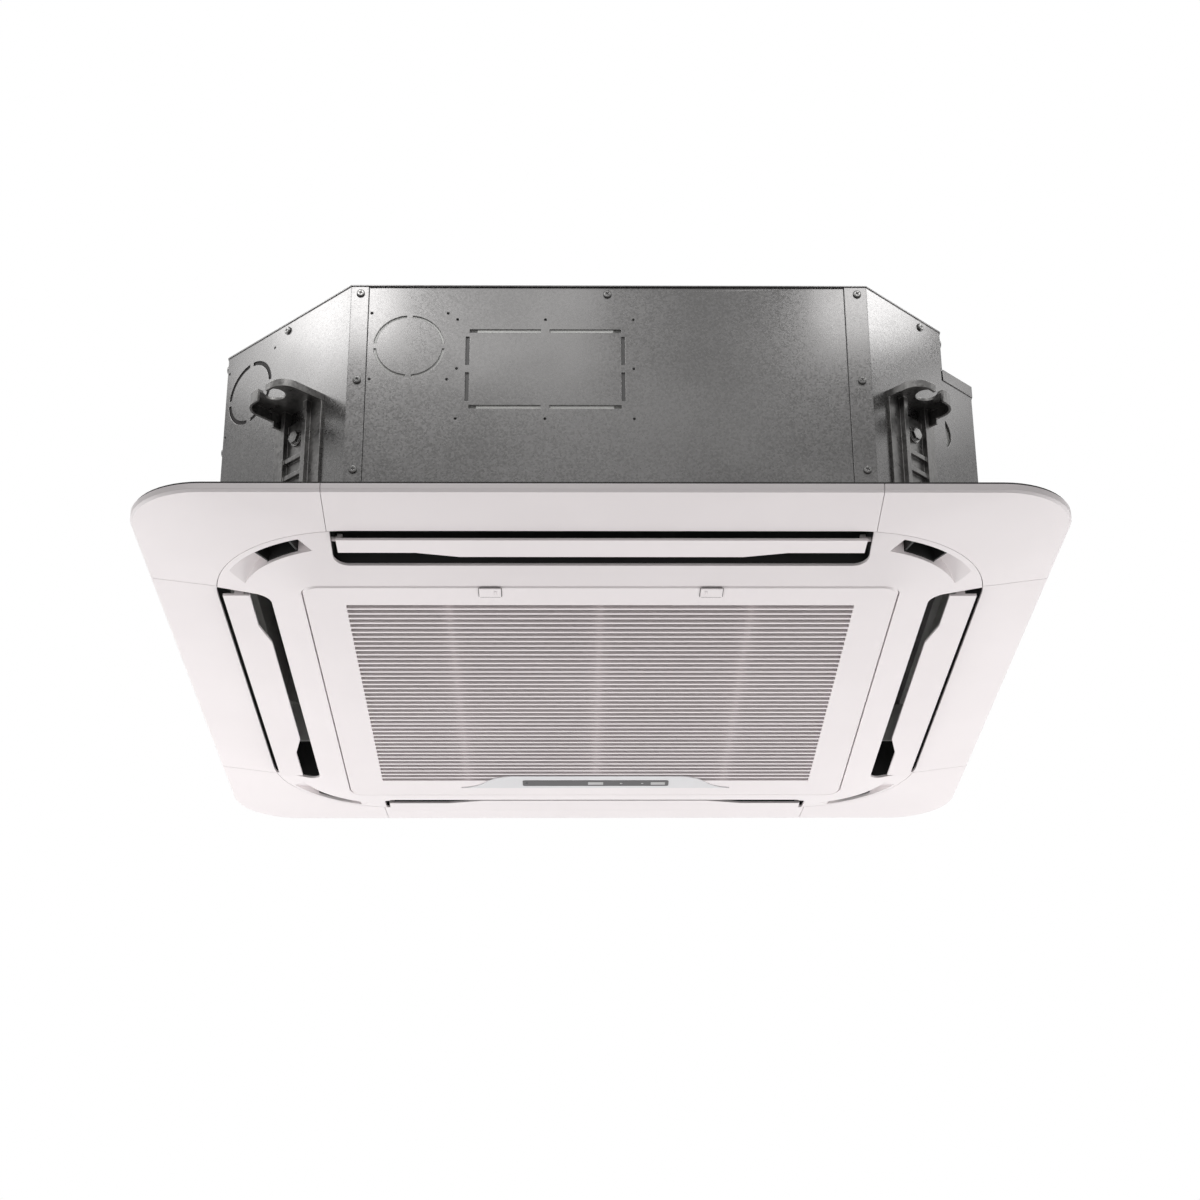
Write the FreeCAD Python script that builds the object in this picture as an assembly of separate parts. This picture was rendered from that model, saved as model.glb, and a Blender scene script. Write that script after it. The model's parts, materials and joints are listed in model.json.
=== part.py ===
"""Four-way ceiling cassette air conditioner, in millimetres.

+Z is up and -Y is the front. The origin is on the ceiling plane, under the middle of the unit.
"""
import FreeCAD, Part
import math
import os

V = FreeCAD.Vector
ORIGIN = V(0, 0, 0)
X_AXIS = V(1, 0, 0)
Y_AXIS = V(0, 1, 0)
Z_AXIS = V(0, 0, 1)
DIAGONAL = math.sqrt(2)

# Panel, from its edge inwards
PANEL_HALF = 475.0         # middle to the panel's edge
PANEL_CORNER_R = 80.0
PANEL_WALL = 3.0
GASKET_T = 2.5
GASKET_W = 14.0
GASKET_INSET = 1.5
RIM_H = 8.5
RIM_ROUND = 2.5
SKIRT_W = 69.0             # panel edge to the arc seam and the outer edge of the outlets
SEAM_R = 150.0
SEAM_DEPTH = 20.0          # ceiling plane to the seam
SEAM_GAP = 0.6
COVER_REACH = 129.0        # seam to the cut line between a corner cover and a side trim
OUTLET_W = 58.0
BORDER_W = 35.0            # between the outlets and the intake
INTAKE_R = 20.0
INTAKE_DEPTH = 37.0        # ceiling plane to the intake's edge
FLANGE_GAP = 0.5
TRIM_RIB_SHARES = (-0.69, 0, 0.69)
COVER_RIB_SHIFT = 60.0
COLLAR_GAP = 0.3           # collar and ducts to the drain pan
PANEL_SCREW_OUT = 13.0     # outside the middle of the arc seam, along X and Y
PANEL_SCREW_R = 3.0
PANEL_SCREW_HEAD_R = 6.0
PANEL_SCREW_HEAD_H = 4.0
PANEL_SCREW_CLEARANCE = 0.3
PANEL_NUT_H = 5.0

# Casing of galvanised sheet
BODY_OVER_SEAM = 4.0       # casing outside the outlets' outer edge
BODY_BOTTOM = 22.0         # ceiling plane to the lower edge
BODY_HEIGHT = 245.0
LEFT_CUT = 148.0           # leg of the corner cuts on the left
RIGHT_CUT = 130.0          # leg of the corner cuts on the right
CASE_STEP = 40.0           # the tall casing is this much narrower on the right
SIDE_BOX_STEP = 2.0        # and the lower side box this much
SIDE_BOX_DROP = 47.0       # top of the casing to the top of the side box
SIDE_BOX_LIP = 13.0
SIDE_BOX_UPSTAND = 15.0
SIDE_BOX_LAP = 12.0        # behind the right corner plates
SHEET = 1.2
LEFT_LAP = 18.0            # corner plate flange on the front, rear and left plates
RIGHT_LAP = 23.0
SIDE_LAP = 18.0            # right corner plate flange on the right plate
TOP_LIP = 16.0
TOP_OVERHANG = 1.0
PLATE_GAP = 0.4
BEAD_H = 3.0               # stiffening beads of the top plate
BEAD_W = 12.0
BEAD_RING_R = 150.0
BEAD_END_GAP = 84.0        # right face of the casing to the end of a bead
BEAD_COUNT = 8

# Knock-outs and small holes of the casing
KNOCK_R = 37.0
KNOCK_IN = 62.0            # corner cut to the round knock-out
KNOCK_DROP = 73.4
KNOCK_SLIT = 2.5
KNOCK_BRIDGE = 6.0
KNOCK_HOLE_PITCH = 80.0
DUCT_SHIFT = 142.0         # round knock-out to the rectangular one
DUCT_DROP = 100.5
DUCT_W = 166.0
DUCT_H = 95.0
DUCT_SLIT = 4.0
DUCT_BRIDGE = 9.0
DUCT_HOLE_PITCH_X = 184.0
DUCT_HOLE_PITCH_Z = 119.0
DOT_R = 1.5
SIDE_KNOCK_EDGE = 42.65    # end of the left corner plate to its knock-out
SIDE_KNOCK_DROP = 62.0
SIDE_KNOCK_SLIT = 4.5
CABLE_R = 20.0
CABLE_INSET = 11.0
CABLE_DROP = 80.0          # top of the side box to the cable hole

# Casing screws
SCREW_R = 2.0
SCREW_HEAD_R = 4.4
SCREW_HEAD_H = 2.6
SCREW_SLOT = 1.0
SCREW_TIP_GAP = 0.4        # screw tip to the foam liner
SCREW_CLEARANCE = 0.1
SCREW_EDGE = 9.5           # screw line to the corner of the casing
SCREW_TOP_DROP = 10.0      # top edge to the upper screws
SCREW_FOOT_RISE = 25.0     # bottom edge to the lower screws
SCREW_MID_X = 7.0

# Hanger brackets
ROD_IN_X = 70.0            # casing's half width to the hanging rod
ROD_IN_Y = 20.0
ROD_HOLE_R = 11.5
ROD_MOUTH = 13.0
HANGER_T = 3.0
HANGER_MID = -30.0         # along the corner plate, from its middle
HANGER_HALF = 38.0
HANGER_RIB_SHIFT = 18.0
HANGER_RIB_W = 6.0
HANGER_RIB_H = 6.0
HANGER_STEP_COUNT = 3
HANGER_STEP_PITCH = 20.0
HANGER_STEP_DROP = 22.0    # bolt to the first step
HANGER_STEP_T = 4.0
HANGER_STEP_H = 5.0
HANGER_WINDOW_H = 16.0
HOOK_RISE = 128.0          # bottom of the casing to the hook's top
HOOK_HALF = 33.0
HOOK_MARGIN = 5.0          # rod opening to the outer edge
HOOK_CORNER_R = 20.0
HOOK_LIP = 11.0            # turned-down lip on the tip's side
HOOK_SMALL_LIP = 5.0       # and on the other side
HOOK_TAB_H = 17.0
HOOK_TAB_W = 13.0
FOOT_HALF = 15.0
FOOT_MARGIN = 10.0
HANGER_BOLT_DROP = 39.0    # hook to the bolt
HANGER_BOLT_R = 4.0
HANGER_BOLT_HEAD_R = 7.0
HANGER_BOLT_HEAD_H = 6.0
HANGER_BOLT_FLANGE_R = 9.0
HANGER_BOLT_FLANGE_H = 1.8
HANGER_BOLT_CLEARANCE = 0.2

# Ducts and corner vents
OUTLET_END_GAP = 3.0       # end of an outlet to the trim's cut line
OUTLET_CORNER_R = 16.0
DUCT_WALL = 3.0
DUCT_LIFT = 1.0
DUCT_GAP = 0.3
VENT_MARGIN = 7.0          # arc seam to a vent
VENT_W = 21.0
VENT_START = 18.0          # degrees from the front or rear
VENT_OPEN_START = 27.0
VENT_OPEN_END = 45.0
VENT_RIDGE = 63.0
VENT_END = 72.0
VENT_END_DEPTH = 20.5      # below the flange: where the ramps meet the skin
VENT_RIDGE_DEPTH = 14.5
VENT_OPEN_DEPTH = 3.0
VENT_RAMP_STEPS = 3
VENT_WALL = 2.0
VENT_LIP = 4.0             # pocket's rest on the flange
VENT_CAP_H = 17.0

# Louvers and their motors
LOUVER_END_GAP = 6.0
LOUVER_OUT_GAP = 7.0
LOUVER_IN_GAP = 13.0
LOUVER_DROP = 7.0          # seam to the louver's face
LOUVER_T = 2.6
LOUVER_NARROW = 9.5        # the ends are narrower by this
LOUVER_NARROW_LENGTH = 78.0
LOUVER_STEP_LENGTH = 45.0
LOUVER_PIVOT_SHIFT = 2.0
LOUVER_PIVOT_RISE = 10.0
LOUVER_PIN_R = 2.5
LOUVER_PIN_REACH = 2.5
LOUVER_PIN_CLEARANCE = 0.1
LOUVER_ARM_W = 5.0
LOUVER_ARM_HALF = 5.0
MOTOR_CAN_R = 9.5
MOTOR_CAN_LENGTH = 16.0
MOTOR_CAN_SHIFT = 2.0
MOTOR_CAN_RISE = 6.0
MOTOR_CAN_ROOM = 0.8

# Intake grille
GRILLE_GAP = 1.0
GRILLE_PROUD = 1.0
GRILLE_SKIN = 3.0
GRILLE_EDGE = 2.5
GRILLE_RIM_H = 16.0
SLAT_SIDE_BORDER = 43.5
SLAT_FRONT_BORDER = 44.0
SLAT_REAR_BORDER = 51.0
SLAT_PITCH = 12.0
SLAT_GAP_SHARE = 0.68
SLAT_DEPTH = 6.0
SLAT_LEAN = 3.5
RIB_SHARES = (-0.6, 0, 0.6)
RIB_W = 6.0
FIELD_WALL = 4.0
HINGE_IN_X = 106.0         # side edge of the grille to a hinge
HINGE_IN_Y = 23.0          # rear edge to the hinge line
HINGE_RISE = 6.5           # face to the hinge line
HINGE_PIN_R = 2.0
HINGE_PIN_CLEARANCE = 0.1
HINGE_EAR_R = 4.2
HINGE_EAR_W = 6.0
HINGE_EAR_ROOM = 2.0
HINGE_ARM_GAP = 0.6        # arm to the rear edge as it swings up
HINGE_ARM_T = 4.0
KNUCKLE_W = 4.0
KNUCKLE_HALF = 4.5
HINGE_POCKET_SKIN = 1.9
LATCH_X = 115.5
LATCH_EDGE = 11.0          # front edge of the grille to a latch
LATCH_W = 23.0
LATCH_D = 20.0
LATCH_T = 1.3
LATCH_GAP = 0.2
LATCH_TRAVEL = 6.0
LATCH_STEM_W = 8.0
LATCH_STEM_D = 8.0
LATCH_STEM_SHIFT = 4.5     # stem outwards from the thumb plate's middle
LATCH_STEM_IN = 5.5        # and towards the grille's middle
LATCH_BACK_T = 1.8
LATCH_BACK_W = 22.0
LATCH_BACK_D = 12.0
LATCH_GRIP_W = 2.0
LATCH_GRIP_T = 0.5
FILTER_IN = 30.0           # edge of the grille to the filter
FILTER_T = 6.0
FILTER_BORDER = 12.0
FILTER_BAR_SHARES = (-0.5, 0, 0.5)
FILTER_BAR_W = 5.0
FILTER_MESH_T = 0.8
FILTER_GAP = 0.3
DISPLAY_IN = 31.0          # rear edge of the grille to the display
DISPLAY_D = 41.0
DISPLAY_BASE_HALF = 170.0
DISPLAY_TOP_HALF = 106.0
DISPLAY_T = 1.2
WINDOW_HALF = 92.0
WINDOW_IN = 13.5
WINDOW_D = 19.0
WINDOW_T = 0.5
WINDOW_R = 3.0

# Works inside the casing
INNER_GAP = 4.0            # pan and liner to the casing's outline
LINER_T = 12.0
PAN_H = 50.0
PAN_OPEN_R = 40.0
PAN_OUTLET_INSET = 3.0
PAN_WALL = 4.0             # least wall round the outlets
PAN_LIP = 14.0             # intake opening to the gutter
GUTTER_FLOOR = 30.0        # above the pan's underside
GUTTER_R = 30.0
GUTTER_INNER_GAP = 6.0     # gutter walls to the coil
GUTTER_OUTER_GAP = 7.0
COIL_T = 45.0
COIL_TOP_GAP = 12.0
FIN_T = 1.5
FIN_PITCH = 20.0
COIL_BEND_R = 60.0
COIL_BEND_GAP = 35.0       # bend to the first fin
COIL_OPEN = 75.0           # the runs at the open rear left corner are shorter by this
TUBE_R = 3.5
TUBE_ROWS = 4
TUBE_COLUMNS = 2
TUBE_COLUMN_PITCH = 22.0
TUBE_CLEARANCE = 0.05
TUBE_END = 12.0
BELL_EDGE_GAP = 13.0       # intake to the edge of the bell mouth's plate
BELL_LAP = 30.0            # of the plate under the drain pan
BELL_T = 2.5
BELL_CURVE_R = 42.5
BELL_EYE_GAP = 11.5
BELL_LIP = 18.0
FAN_ROOM = 60.0            # fan to the coil
FAN_DROP = 67.0            # top of the casing to the fan
FAN_PLATE_T = 3.0
FAN_SHROUD_W = 56.0
FAN_SHROUD_H = 38.0
FAN_EYE_RISE = 4.0         # above the drain pan
FAN_EYE_H = 12.0
FAN_HUB_R = 40.0
FAN_HUB_H = 50.0
BLADE_COUNT = 7
BLADE_REACH = 90.0
BLADE_T = 3.0
BLADE_SWEEP = 38.0
BLADE_BULGE_SHARE = 0.1
SHAFT_R = 6.0
SHAFT_CLEARANCE = 0.05
SHAFT_TAIL = 14.0
SHAFT_IN_MOTOR = 40.0
NUT_R = 11.0
NUT_H = 10.0
MOTOR_R = 70.0
MOTOR_H = 50.0
MOTOR_GAP = 5.0
MOTOR_BOSS_R = 25.0
MOTOR_BOSS_GAP = 1.0
MOTOR_LUG_R = 95.0
MOTOR_LUG_HALF = 13.0
MOTOR_LUG_T = 6.0
BUSH_R = 10.0
MOTOR_BOLT_R = 3.0
MOTOR_BOLT_HEAD_R = 6.0
MOTOR_BOLT_HEAD_H = 4.0
MOTOR_BOLT_CLEARANCE = 0.2
CONTROL_HALF = 160.0
CONTROL_GAP = 2.0          # bell mouth's curve to the control box
CONTROL_H = 19.5
BOARD_T = 1.6
BOARD_MARGIN = 10.0
BOARD_RISE = 6.0
CHIP_H = 7.0
CHIP_HALF = 14.0
CHIP_SHIFT_SHARES = (-0.6, -0.1, 0.45)

# Pipes, pump and float at the rear left corner
LIQUID_EDGE = 20.65        # end of the corner plate to the liquid pipe
PIPE_SPACING = 40.0
PIPE_DROP = 62.0           # top of the casing to the pipes
GAS_PIPE_R = 7.9
LIQUID_PIPE_R = 4.8
GAS_UNION_R = 11.1
LIQUID_UNION_R = 7.9
UNION_LENGTH = 18.0
UNION_HEX_H = 12.0
PIPE_FLANGE_T = 2.0
PIPE_FLANGE_LIP = 5.0
PIPE_INSIDE = 60.0
PIPE_CLEARANCE = 0.4
DRAIN_RISE = 96.0          # bottom of the casing to the drain
DRAIN_R = 16.0
DRAIN_BORE_R = 13.0
DRAIN_LENGTH = 42.0
PUMP_OUT = 39.3            # gutter's inner wall to the pump
PUMP_BACK = 48.4           # gutter's inner corner to the pump
PUMP_R = 26.0
PUMP_TOP_RISE = 32.0       # drain to the pump's top
PUMP_LEG_R = 13.0
PUMP_BODY_DROP = 26.0
FLOAT_OUT = 15.2
FLOAT_BACK = 4.6
FLOAT_STEM_R = 4.0
FLOAT_STEM_H = 58.0
FLOAT_BASE_R = 10.0
FLOAT_BASE_H = 4.0
FLOAT_R = 13.0
FLOAT_H = 16.0
FLOAT_REST_GAP = 0.3
FLOAT_CLEARANCE = 0.3

# Plan of the panel and the casing, worked out from the sizes above
SEAM_HALF = PANEL_HALF - SKIRT_W
SEAM_END = SEAM_HALF - COVER_REACH
SEAM_ARC_MID = SEAM_HALF - SEAM_R + SEAM_R / DIAGONAL
PANEL_SCREW_AT = SEAM_ARC_MID + PANEL_SCREW_OUT
OUTLET_IN = SEAM_HALF - OUTLET_W
OUTLET_HALF = SEAM_END - OUTLET_END_GAP
INTAKE_HALF = OUTLET_IN - BORDER_W
VENT_R_OUT = SEAM_R - VENT_MARGIN
VENT_R_IN = VENT_R_OUT - VENT_W
BODY_HALF = SEAM_HALF + BODY_OVER_SEAM
CASE_RIGHT = BODY_HALF - CASE_STEP
SIDE_BOX_RIGHT = BODY_HALF - SIDE_BOX_STEP
LEFT_CORNER = BODY_HALF - LEFT_CUT
RIGHT_CORNER = BODY_HALF - RIGHT_CUT
CASE_CORNER = BODY_HALF - (CASE_RIGHT - RIGHT_CORNER)
LEFT_FACE = (LEFT_CORNER + BODY_HALF) / DIAGONAL
RIGHT_FACE = (RIGHT_CORNER + BODY_HALF) / DIAGONAL
LEFT_PLATE_HALF = LEFT_CUT / DIAGONAL
KNOCK_X = -LEFT_CORNER + KNOCK_IN
DUCT_X = KNOCK_X + DUCT_SHIFT
SIDE_KNOCK_SHIFT = LEFT_PLATE_HALF - SIDE_KNOCK_EDGE
LIQUID_SHIFT = LEFT_PLATE_HALF - LIQUID_EDGE
GAS_SHIFT = LIQUID_SHIFT - PIPE_SPACING
SCREW_LENGTH = INNER_GAP - SCREW_TIP_GAP
OVERRUN = BODY_HALF

# Heights, worked out from the sizes above
BODY_TOP = BODY_BOTTOM + BODY_HEIGHT
WALL_TOP = BODY_TOP - SHEET
SIDE_BOX_TOP = BODY_TOP - SIDE_BOX_DROP
KNOCK_Z = BODY_TOP - KNOCK_DROP
DUCT_Z = BODY_TOP - DUCT_DROP
SIDE_KNOCK_Z = BODY_TOP - SIDE_KNOCK_DROP
CABLE_Z = SIDE_BOX_TOP - CABLE_DROP
HOOK_Z = BODY_BOTTOM + HOOK_RISE
HANGER_BOLT_Z = HOOK_Z - HANGER_BOLT_DROP
PIPE_Z = BODY_TOP - PIPE_DROP
DRAIN_Z = BODY_BOTTOM + DRAIN_RISE
PUMP_TOP = DRAIN_Z + PUMP_TOP_RISE
PUMP_BODY_Z = DRAIN_Z - PUMP_BODY_DROP
PAN_TOP = BODY_BOTTOM + PAN_H
FLANGE_TOP = -GASKET_T
FLANGE_LOW = FLANGE_TOP - PANEL_WALL
RIM_LOW = -GASKET_T - RIM_H
SEAM_Z = -SEAM_DEPTH
INTAKE_Z = -INTAKE_DEPTH
COLLAR_TOP = BODY_BOTTOM - COLLAR_GAP
COIL_LOW = BODY_BOTTOM + GUTTER_FLOOR
COIL_HIGH = WALL_TOP - COIL_TOP_GAP
BELL_LOW = BODY_BOTTOM - BELL_T
FAN_TOP = BODY_TOP - FAN_DROP
FAN_EYE_Z = PAN_TOP + FAN_EYE_RISE
FAN_OUTLET_Z = FAN_EYE_Z + FAN_SHROUD_H
HUB_LOW = FAN_TOP - FAN_HUB_H
MOTOR_LOW = FAN_TOP + MOTOR_GAP

# Louver, grille and works, worked out from the sizes above
LOUVER_HALF = OUTLET_HALF - LOUVER_END_GAP
LOUVER_OUT = SEAM_HALF - LOUVER_OUT_GAP
LOUVER_IN = OUTLET_IN + LOUVER_IN_GAP
LOUVER_Z = SEAM_Z - LOUVER_DROP
LOUVER_PIVOT = (LOUVER_OUT + LOUVER_IN) / 2 + LOUVER_PIVOT_SHIFT
LOUVER_PIVOT_Z = LOUVER_Z + LOUVER_PIVOT_RISE
GRILLE_HALF = INTAKE_HALF - GRILLE_GAP
GRILLE_R = INTAKE_R - GRILLE_GAP
GRILLE_FACE_Z = INTAKE_Z - GRILLE_PROUD
GRILLE_RIM_TOP = GRILLE_FACE_Z + GRILLE_RIM_H
SLAT_HALF = GRILLE_HALF - SLAT_SIDE_BORDER
SLAT_FRONT = SLAT_FRONT_BORDER - GRILLE_HALF
SLAT_REAR = GRILLE_HALF - SLAT_REAR_BORDER
SLAT_COUNT = round((SLAT_REAR - SLAT_FRONT) / SLAT_PITCH)
HINGE_X = GRILLE_HALF - HINGE_IN_X
HINGE_Y = GRILLE_HALF - HINGE_IN_Y
HINGE_Z = GRILLE_FACE_Z + HINGE_RISE
HINGE_ARM_Z = HINGE_Z + math.hypot(HINGE_IN_Y, HINGE_RISE) + HINGE_ARM_GAP
LATCH_Y = LATCH_EDGE - GRILLE_HALF
LATCH_STEM_Y = LATCH_Y + LATCH_STEM_IN
FILTER_HALF = GRILLE_HALF - FILTER_IN
DISPLAY_REAR = GRILLE_HALF - DISPLAY_IN
DISPLAY_FRONT = DISPLAY_REAR - DISPLAY_D
WINDOW_FRONT = DISPLAY_FRONT + WINDOW_IN
BELL_HALF = INTAKE_HALF - BELL_EDGE_GAP
PAN_OPEN_HALF = BELL_HALF - BELL_LAP
GUTTER_IN = PAN_OPEN_HALF + PAN_LIP
COIL_IN = GUTTER_IN + GUTTER_INNER_GAP
COIL_OUT = COIL_IN + COIL_T
COIL_MID = COIL_IN + COIL_T / 2
GUTTER_OUT = COIL_OUT + GUTTER_OUTER_GAP
COIL_LONG = COIL_OUT - COIL_BEND_R - COIL_BEND_GAP
COIL_REAR_END = COIL_LONG - COIL_OPEN
FAN_R = COIL_IN - FAN_ROOM
FAN_EYE_R = FAN_R - FAN_SHROUD_W
BLADE_IN_R = FAN_R - BLADE_REACH
BELL_THROAT_R = FAN_EYE_R - BELL_EYE_GAP
BELL_MOUTH_R = BELL_THROAT_R + BELL_CURVE_R
CONTROL_FRONT = -BELL_HALF
CONTROL_REAR = -BELL_MOUTH_R - CONTROL_GAP


def box(x0, x1, y0, y1, z0, z1):
    """A block between two corners."""
    return Part.makeBox(x1 - x0, y1 - y0, z1 - z0, V(x0, y0, z0))


def rod(x, y, z0, z1, r):
    """An upright cylinder."""
    return Part.makeCylinder(r, z1 - z0, V(x, y, z0), Z_AXIS)


def bar_y(x, z, y0, y1, r):
    """A cylinder along Y."""
    return Part.makeCylinder(r, y1 - y0, V(x, y0, z), Y_AXIS)


def bar_x(y, z, x0, x1, r):
    """A cylinder along X."""
    return Part.makeCylinder(r, x1 - x0, V(x0, y, z), X_AXIS)


def join(shapes):
    """One solid from touching ones."""
    first = shapes[0]
    return first.fuse(shapes[1:]).removeSplitter()


def slab(points, z0, z1):
    """An upright prism on an outline of corner points."""
    corners = [V(x, y, z0) for x, y in points]
    face = Part.Face(Part.makePolygon(corners + corners[:1]))
    return face.extrude(V(0, 0, z1 - z0))


def hexagon(x, y, z0, z1, r):
    """An upright hexagonal prism with its corners at r."""
    turns = [math.radians(60 * i) for i in range(6)]
    return slab([(x + r * math.cos(a), y + r * math.sin(a)) for a in turns], z0, z1)


def spun(points):
    """A solid of revolution about Z from radius and height points."""
    corners = [V(r, 0, z) for r, z in points]
    return Part.Face(Part.makePolygon(corners + corners[:1])).revolve(ORIGIN, Z_AXIS, 360)


def rounded_square(half, r, z):
    """A square wire with round corners, centred on the Z axis."""
    flat = half - r
    dip = r / DIAGONAL
    edges = []
    for turn in range(4):
        a = V(-flat, -half, z)
        b = V(flat, -half, z)
        c = V(half, -flat, z)
        mid = V(flat + dip, -flat - dip, z)
        pair = [Part.LineSegment(a, b).toShape(), Part.Arc(b, mid, c).toShape()]
        for edge in pair:
            edge.rotate(ORIGIN, Z_AXIS, 90 * turn)
        edges += pair
    return Part.Wire(edges)


def square_block(half, r, z0, z1):
    """An upright prism on a rounded square."""
    return Part.Face(rounded_square(half, r, z0)).extrude(V(0, 0, z1 - z0))


def square_ring(half_in, half_out, r_in, r_out, z0, z1):
    """A rounded square tube."""
    return square_block(half_out, r_out, z0, z1).cut(square_block(half_in, r_in, z0, z1))


def taper(half0, r0, z0, half1, r1, z1):
    """A solid between two rounded squares at two heights."""
    wires = [rounded_square(half0, r0, z0), rounded_square(half1, r1, z1)]
    return Part.makeLoft(wires, True, True)


def inset(points, depth):
    """The outline moved inwards by depth, with sharp corners."""
    moved = []
    count = len(points)
    for i in range(count):
        lines = []
        for a, b in ((points[i - 1], points[i]), (points[i], points[(i + 1) % count])):
            length = math.hypot(b[0] - a[0], b[1] - a[1])
            nx, ny = (a[1] - b[1]) / length, (b[0] - a[0]) / length
            lines.append((nx, ny, nx * a[0] + ny * a[1] + depth))
        (a1, b1, c1), (a2, b2, c2) = lines
        det = a1 * b2 - a2 * b1
        moved.append(((c1 * b2 - c2 * b1) / det, (a1 * c2 - a2 * c1) / det))
    return moved


def case_outline(right):
    """The casing's eight-sided plan with its right face at the stated place."""
    side = BODY_HALF - (right - RIGHT_CORNER)
    return [
        (-LEFT_CORNER, -BODY_HALF), (RIGHT_CORNER, -BODY_HALF), (right, -side), (right, side),
        (RIGHT_CORNER, BODY_HALF), (-LEFT_CORNER, BODY_HALF),
        (-BODY_HALF, LEFT_CORNER), (-BODY_HALF, -LEFT_CORNER),
    ]


UPPER = case_outline(CASE_RIGHT)
LOWER = case_outline(SIDE_BOX_RIGHT)


def sheet_ring(outline, outer, inner, z0, z1):
    """The wall between two insets of an outline."""
    return slab(inset(outline, outer), z0, z1).cut(slab(inset(outline, inner), z0, z1))


def to_corner(shape, side, end):
    """A shape drawn facing the front, turned to a corner: side 1 is right, end 1 is rear."""
    shape = shape.copy()
    shape.rotate(ORIGIN, Z_AXIS, 45)
    if side < 0:
        shape = shape.mirror(ORIGIN, X_AXIS)
    if end > 0:
        shape = shape.mirror(ORIGIN, Y_AXIS)
    return shape


def to_side(shape, turn):
    """A shape drawn at the front, turned by quarter turns: front, right, rear, left."""
    shape = shape.copy()
    shape.rotate(ORIGIN, Z_AXIS, 90 * turn)
    return shape


CORNERS = {
    "front_left": (-1, -1), "front_right": (1, -1), "rear_left": (-1, 1), "rear_right": (1, 1),
}
SIDES = {"front": 0, "right": 1, "rear": 2, "left": 3}


def corner_face(side):
    """Diagonal distance from the middle to the casing's outline at a corner."""
    return RIGHT_FACE if side > 0 else LEFT_FACE


# Casing screws: each place is drawn at the front, as x, face, z, and then turned


def screw(x, face, z):
    """A pan-head screw facing the front, with its seat on the plane y = -face."""
    head = bar_y(x, z, -face - SCREW_HEAD_H, -face, SCREW_HEAD_R)
    slot = box(x - SCREW_HEAD_R, x + SCREW_HEAD_R, -face - SCREW_HEAD_H, -face - SCREW_HEAD_H / 2,
               z - SCREW_SLOT / 2, z + SCREW_SLOT / 2)
    return join([head.cut(slot), bar_y(x, z, -face, -face + SCREW_LENGTH, SCREW_R)])


def screw_hole(x, face, z):
    """The hole that a screw passes through."""
    return bar_y(x, z, -face - SHEET, -face + SCREW_LENGTH + SHEET, SCREW_R + SCREW_CLEARANCE)


def screw_places():
    """Every casing screw: a placing function and its x, face and z."""
    high = BODY_TOP - SCREW_TOP_DROP
    low = BODY_BOTTOM + SCREW_FOOT_RISE
    heights = (low, (low + high) / 2, high)
    lap_face = BODY_HALF + SHEET
    places = []
    for turn in (0, 2, 3):
        left = -LEFT_CORNER + SCREW_EDGE
        right = LEFT_CORNER - SCREW_EDGE
        if turn == 0:
            right = RIGHT_CORNER - SCREW_EDGE
        if turn == 2:
            left = -RIGHT_CORNER + SCREW_EDGE
        for z in heights:
            places.append((turn, None, left, lap_face, z))
            places.append((turn, None, right, lap_face, z))
        places.append((turn, None, SCREW_MID_X, BODY_HALF, high))
    for end in (-1, 1):
        places.append((1, None, end * (CASE_CORNER - SCREW_EDGE), CASE_RIGHT + SHEET, high))
    for corner in CORNERS.values():
        places.append((None, corner, 0, corner_face(corner[0]) + SHEET, high))
    return places


def placed(maker, place):
    """A screw or its hole at one of the screw places."""
    turn, corner, x, face, z = place
    shape = maker(x, face, z)
    return to_side(shape, turn) if corner is None else to_corner(shape, *corner)


SCREW_PLACES = screw_places()
SCREW_HOLES = Part.makeCompound([placed(screw_hole, p) for p in SCREW_PLACES])


def casing_screws():
    return Part.makeCompound([placed(screw, p) for p in SCREW_PLACES])


def round_knock_out(x, z, face, slit):
    """Slits of a round knock-out, drawn facing the front at y = -face, with four bridges."""
    y0, y1 = -face - SHEET - SHEET, -face + SHEET + SHEET
    ring = bar_y(x, z, y0, y1, KNOCK_R).cut(bar_y(x, z, y0, y1, KNOCK_R - slit))
    half = KNOCK_BRIDGE / 2
    cross = [box(x - half, x + half, y0, y1, z - KNOCK_R, z + KNOCK_R),
             box(x - KNOCK_R, x + KNOCK_R, y0, y1, z - half, z + half)]
    dots = [bar_y(x + i * KNOCK_HOLE_PITCH / 2, z + j * KNOCK_HOLE_PITCH / 2, y0, y1, DOT_R)
            for i in (-1, 1) for j in (-1, 1)]
    return Part.makeCompound(ring.cut(cross).Solids + dots)


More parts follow.
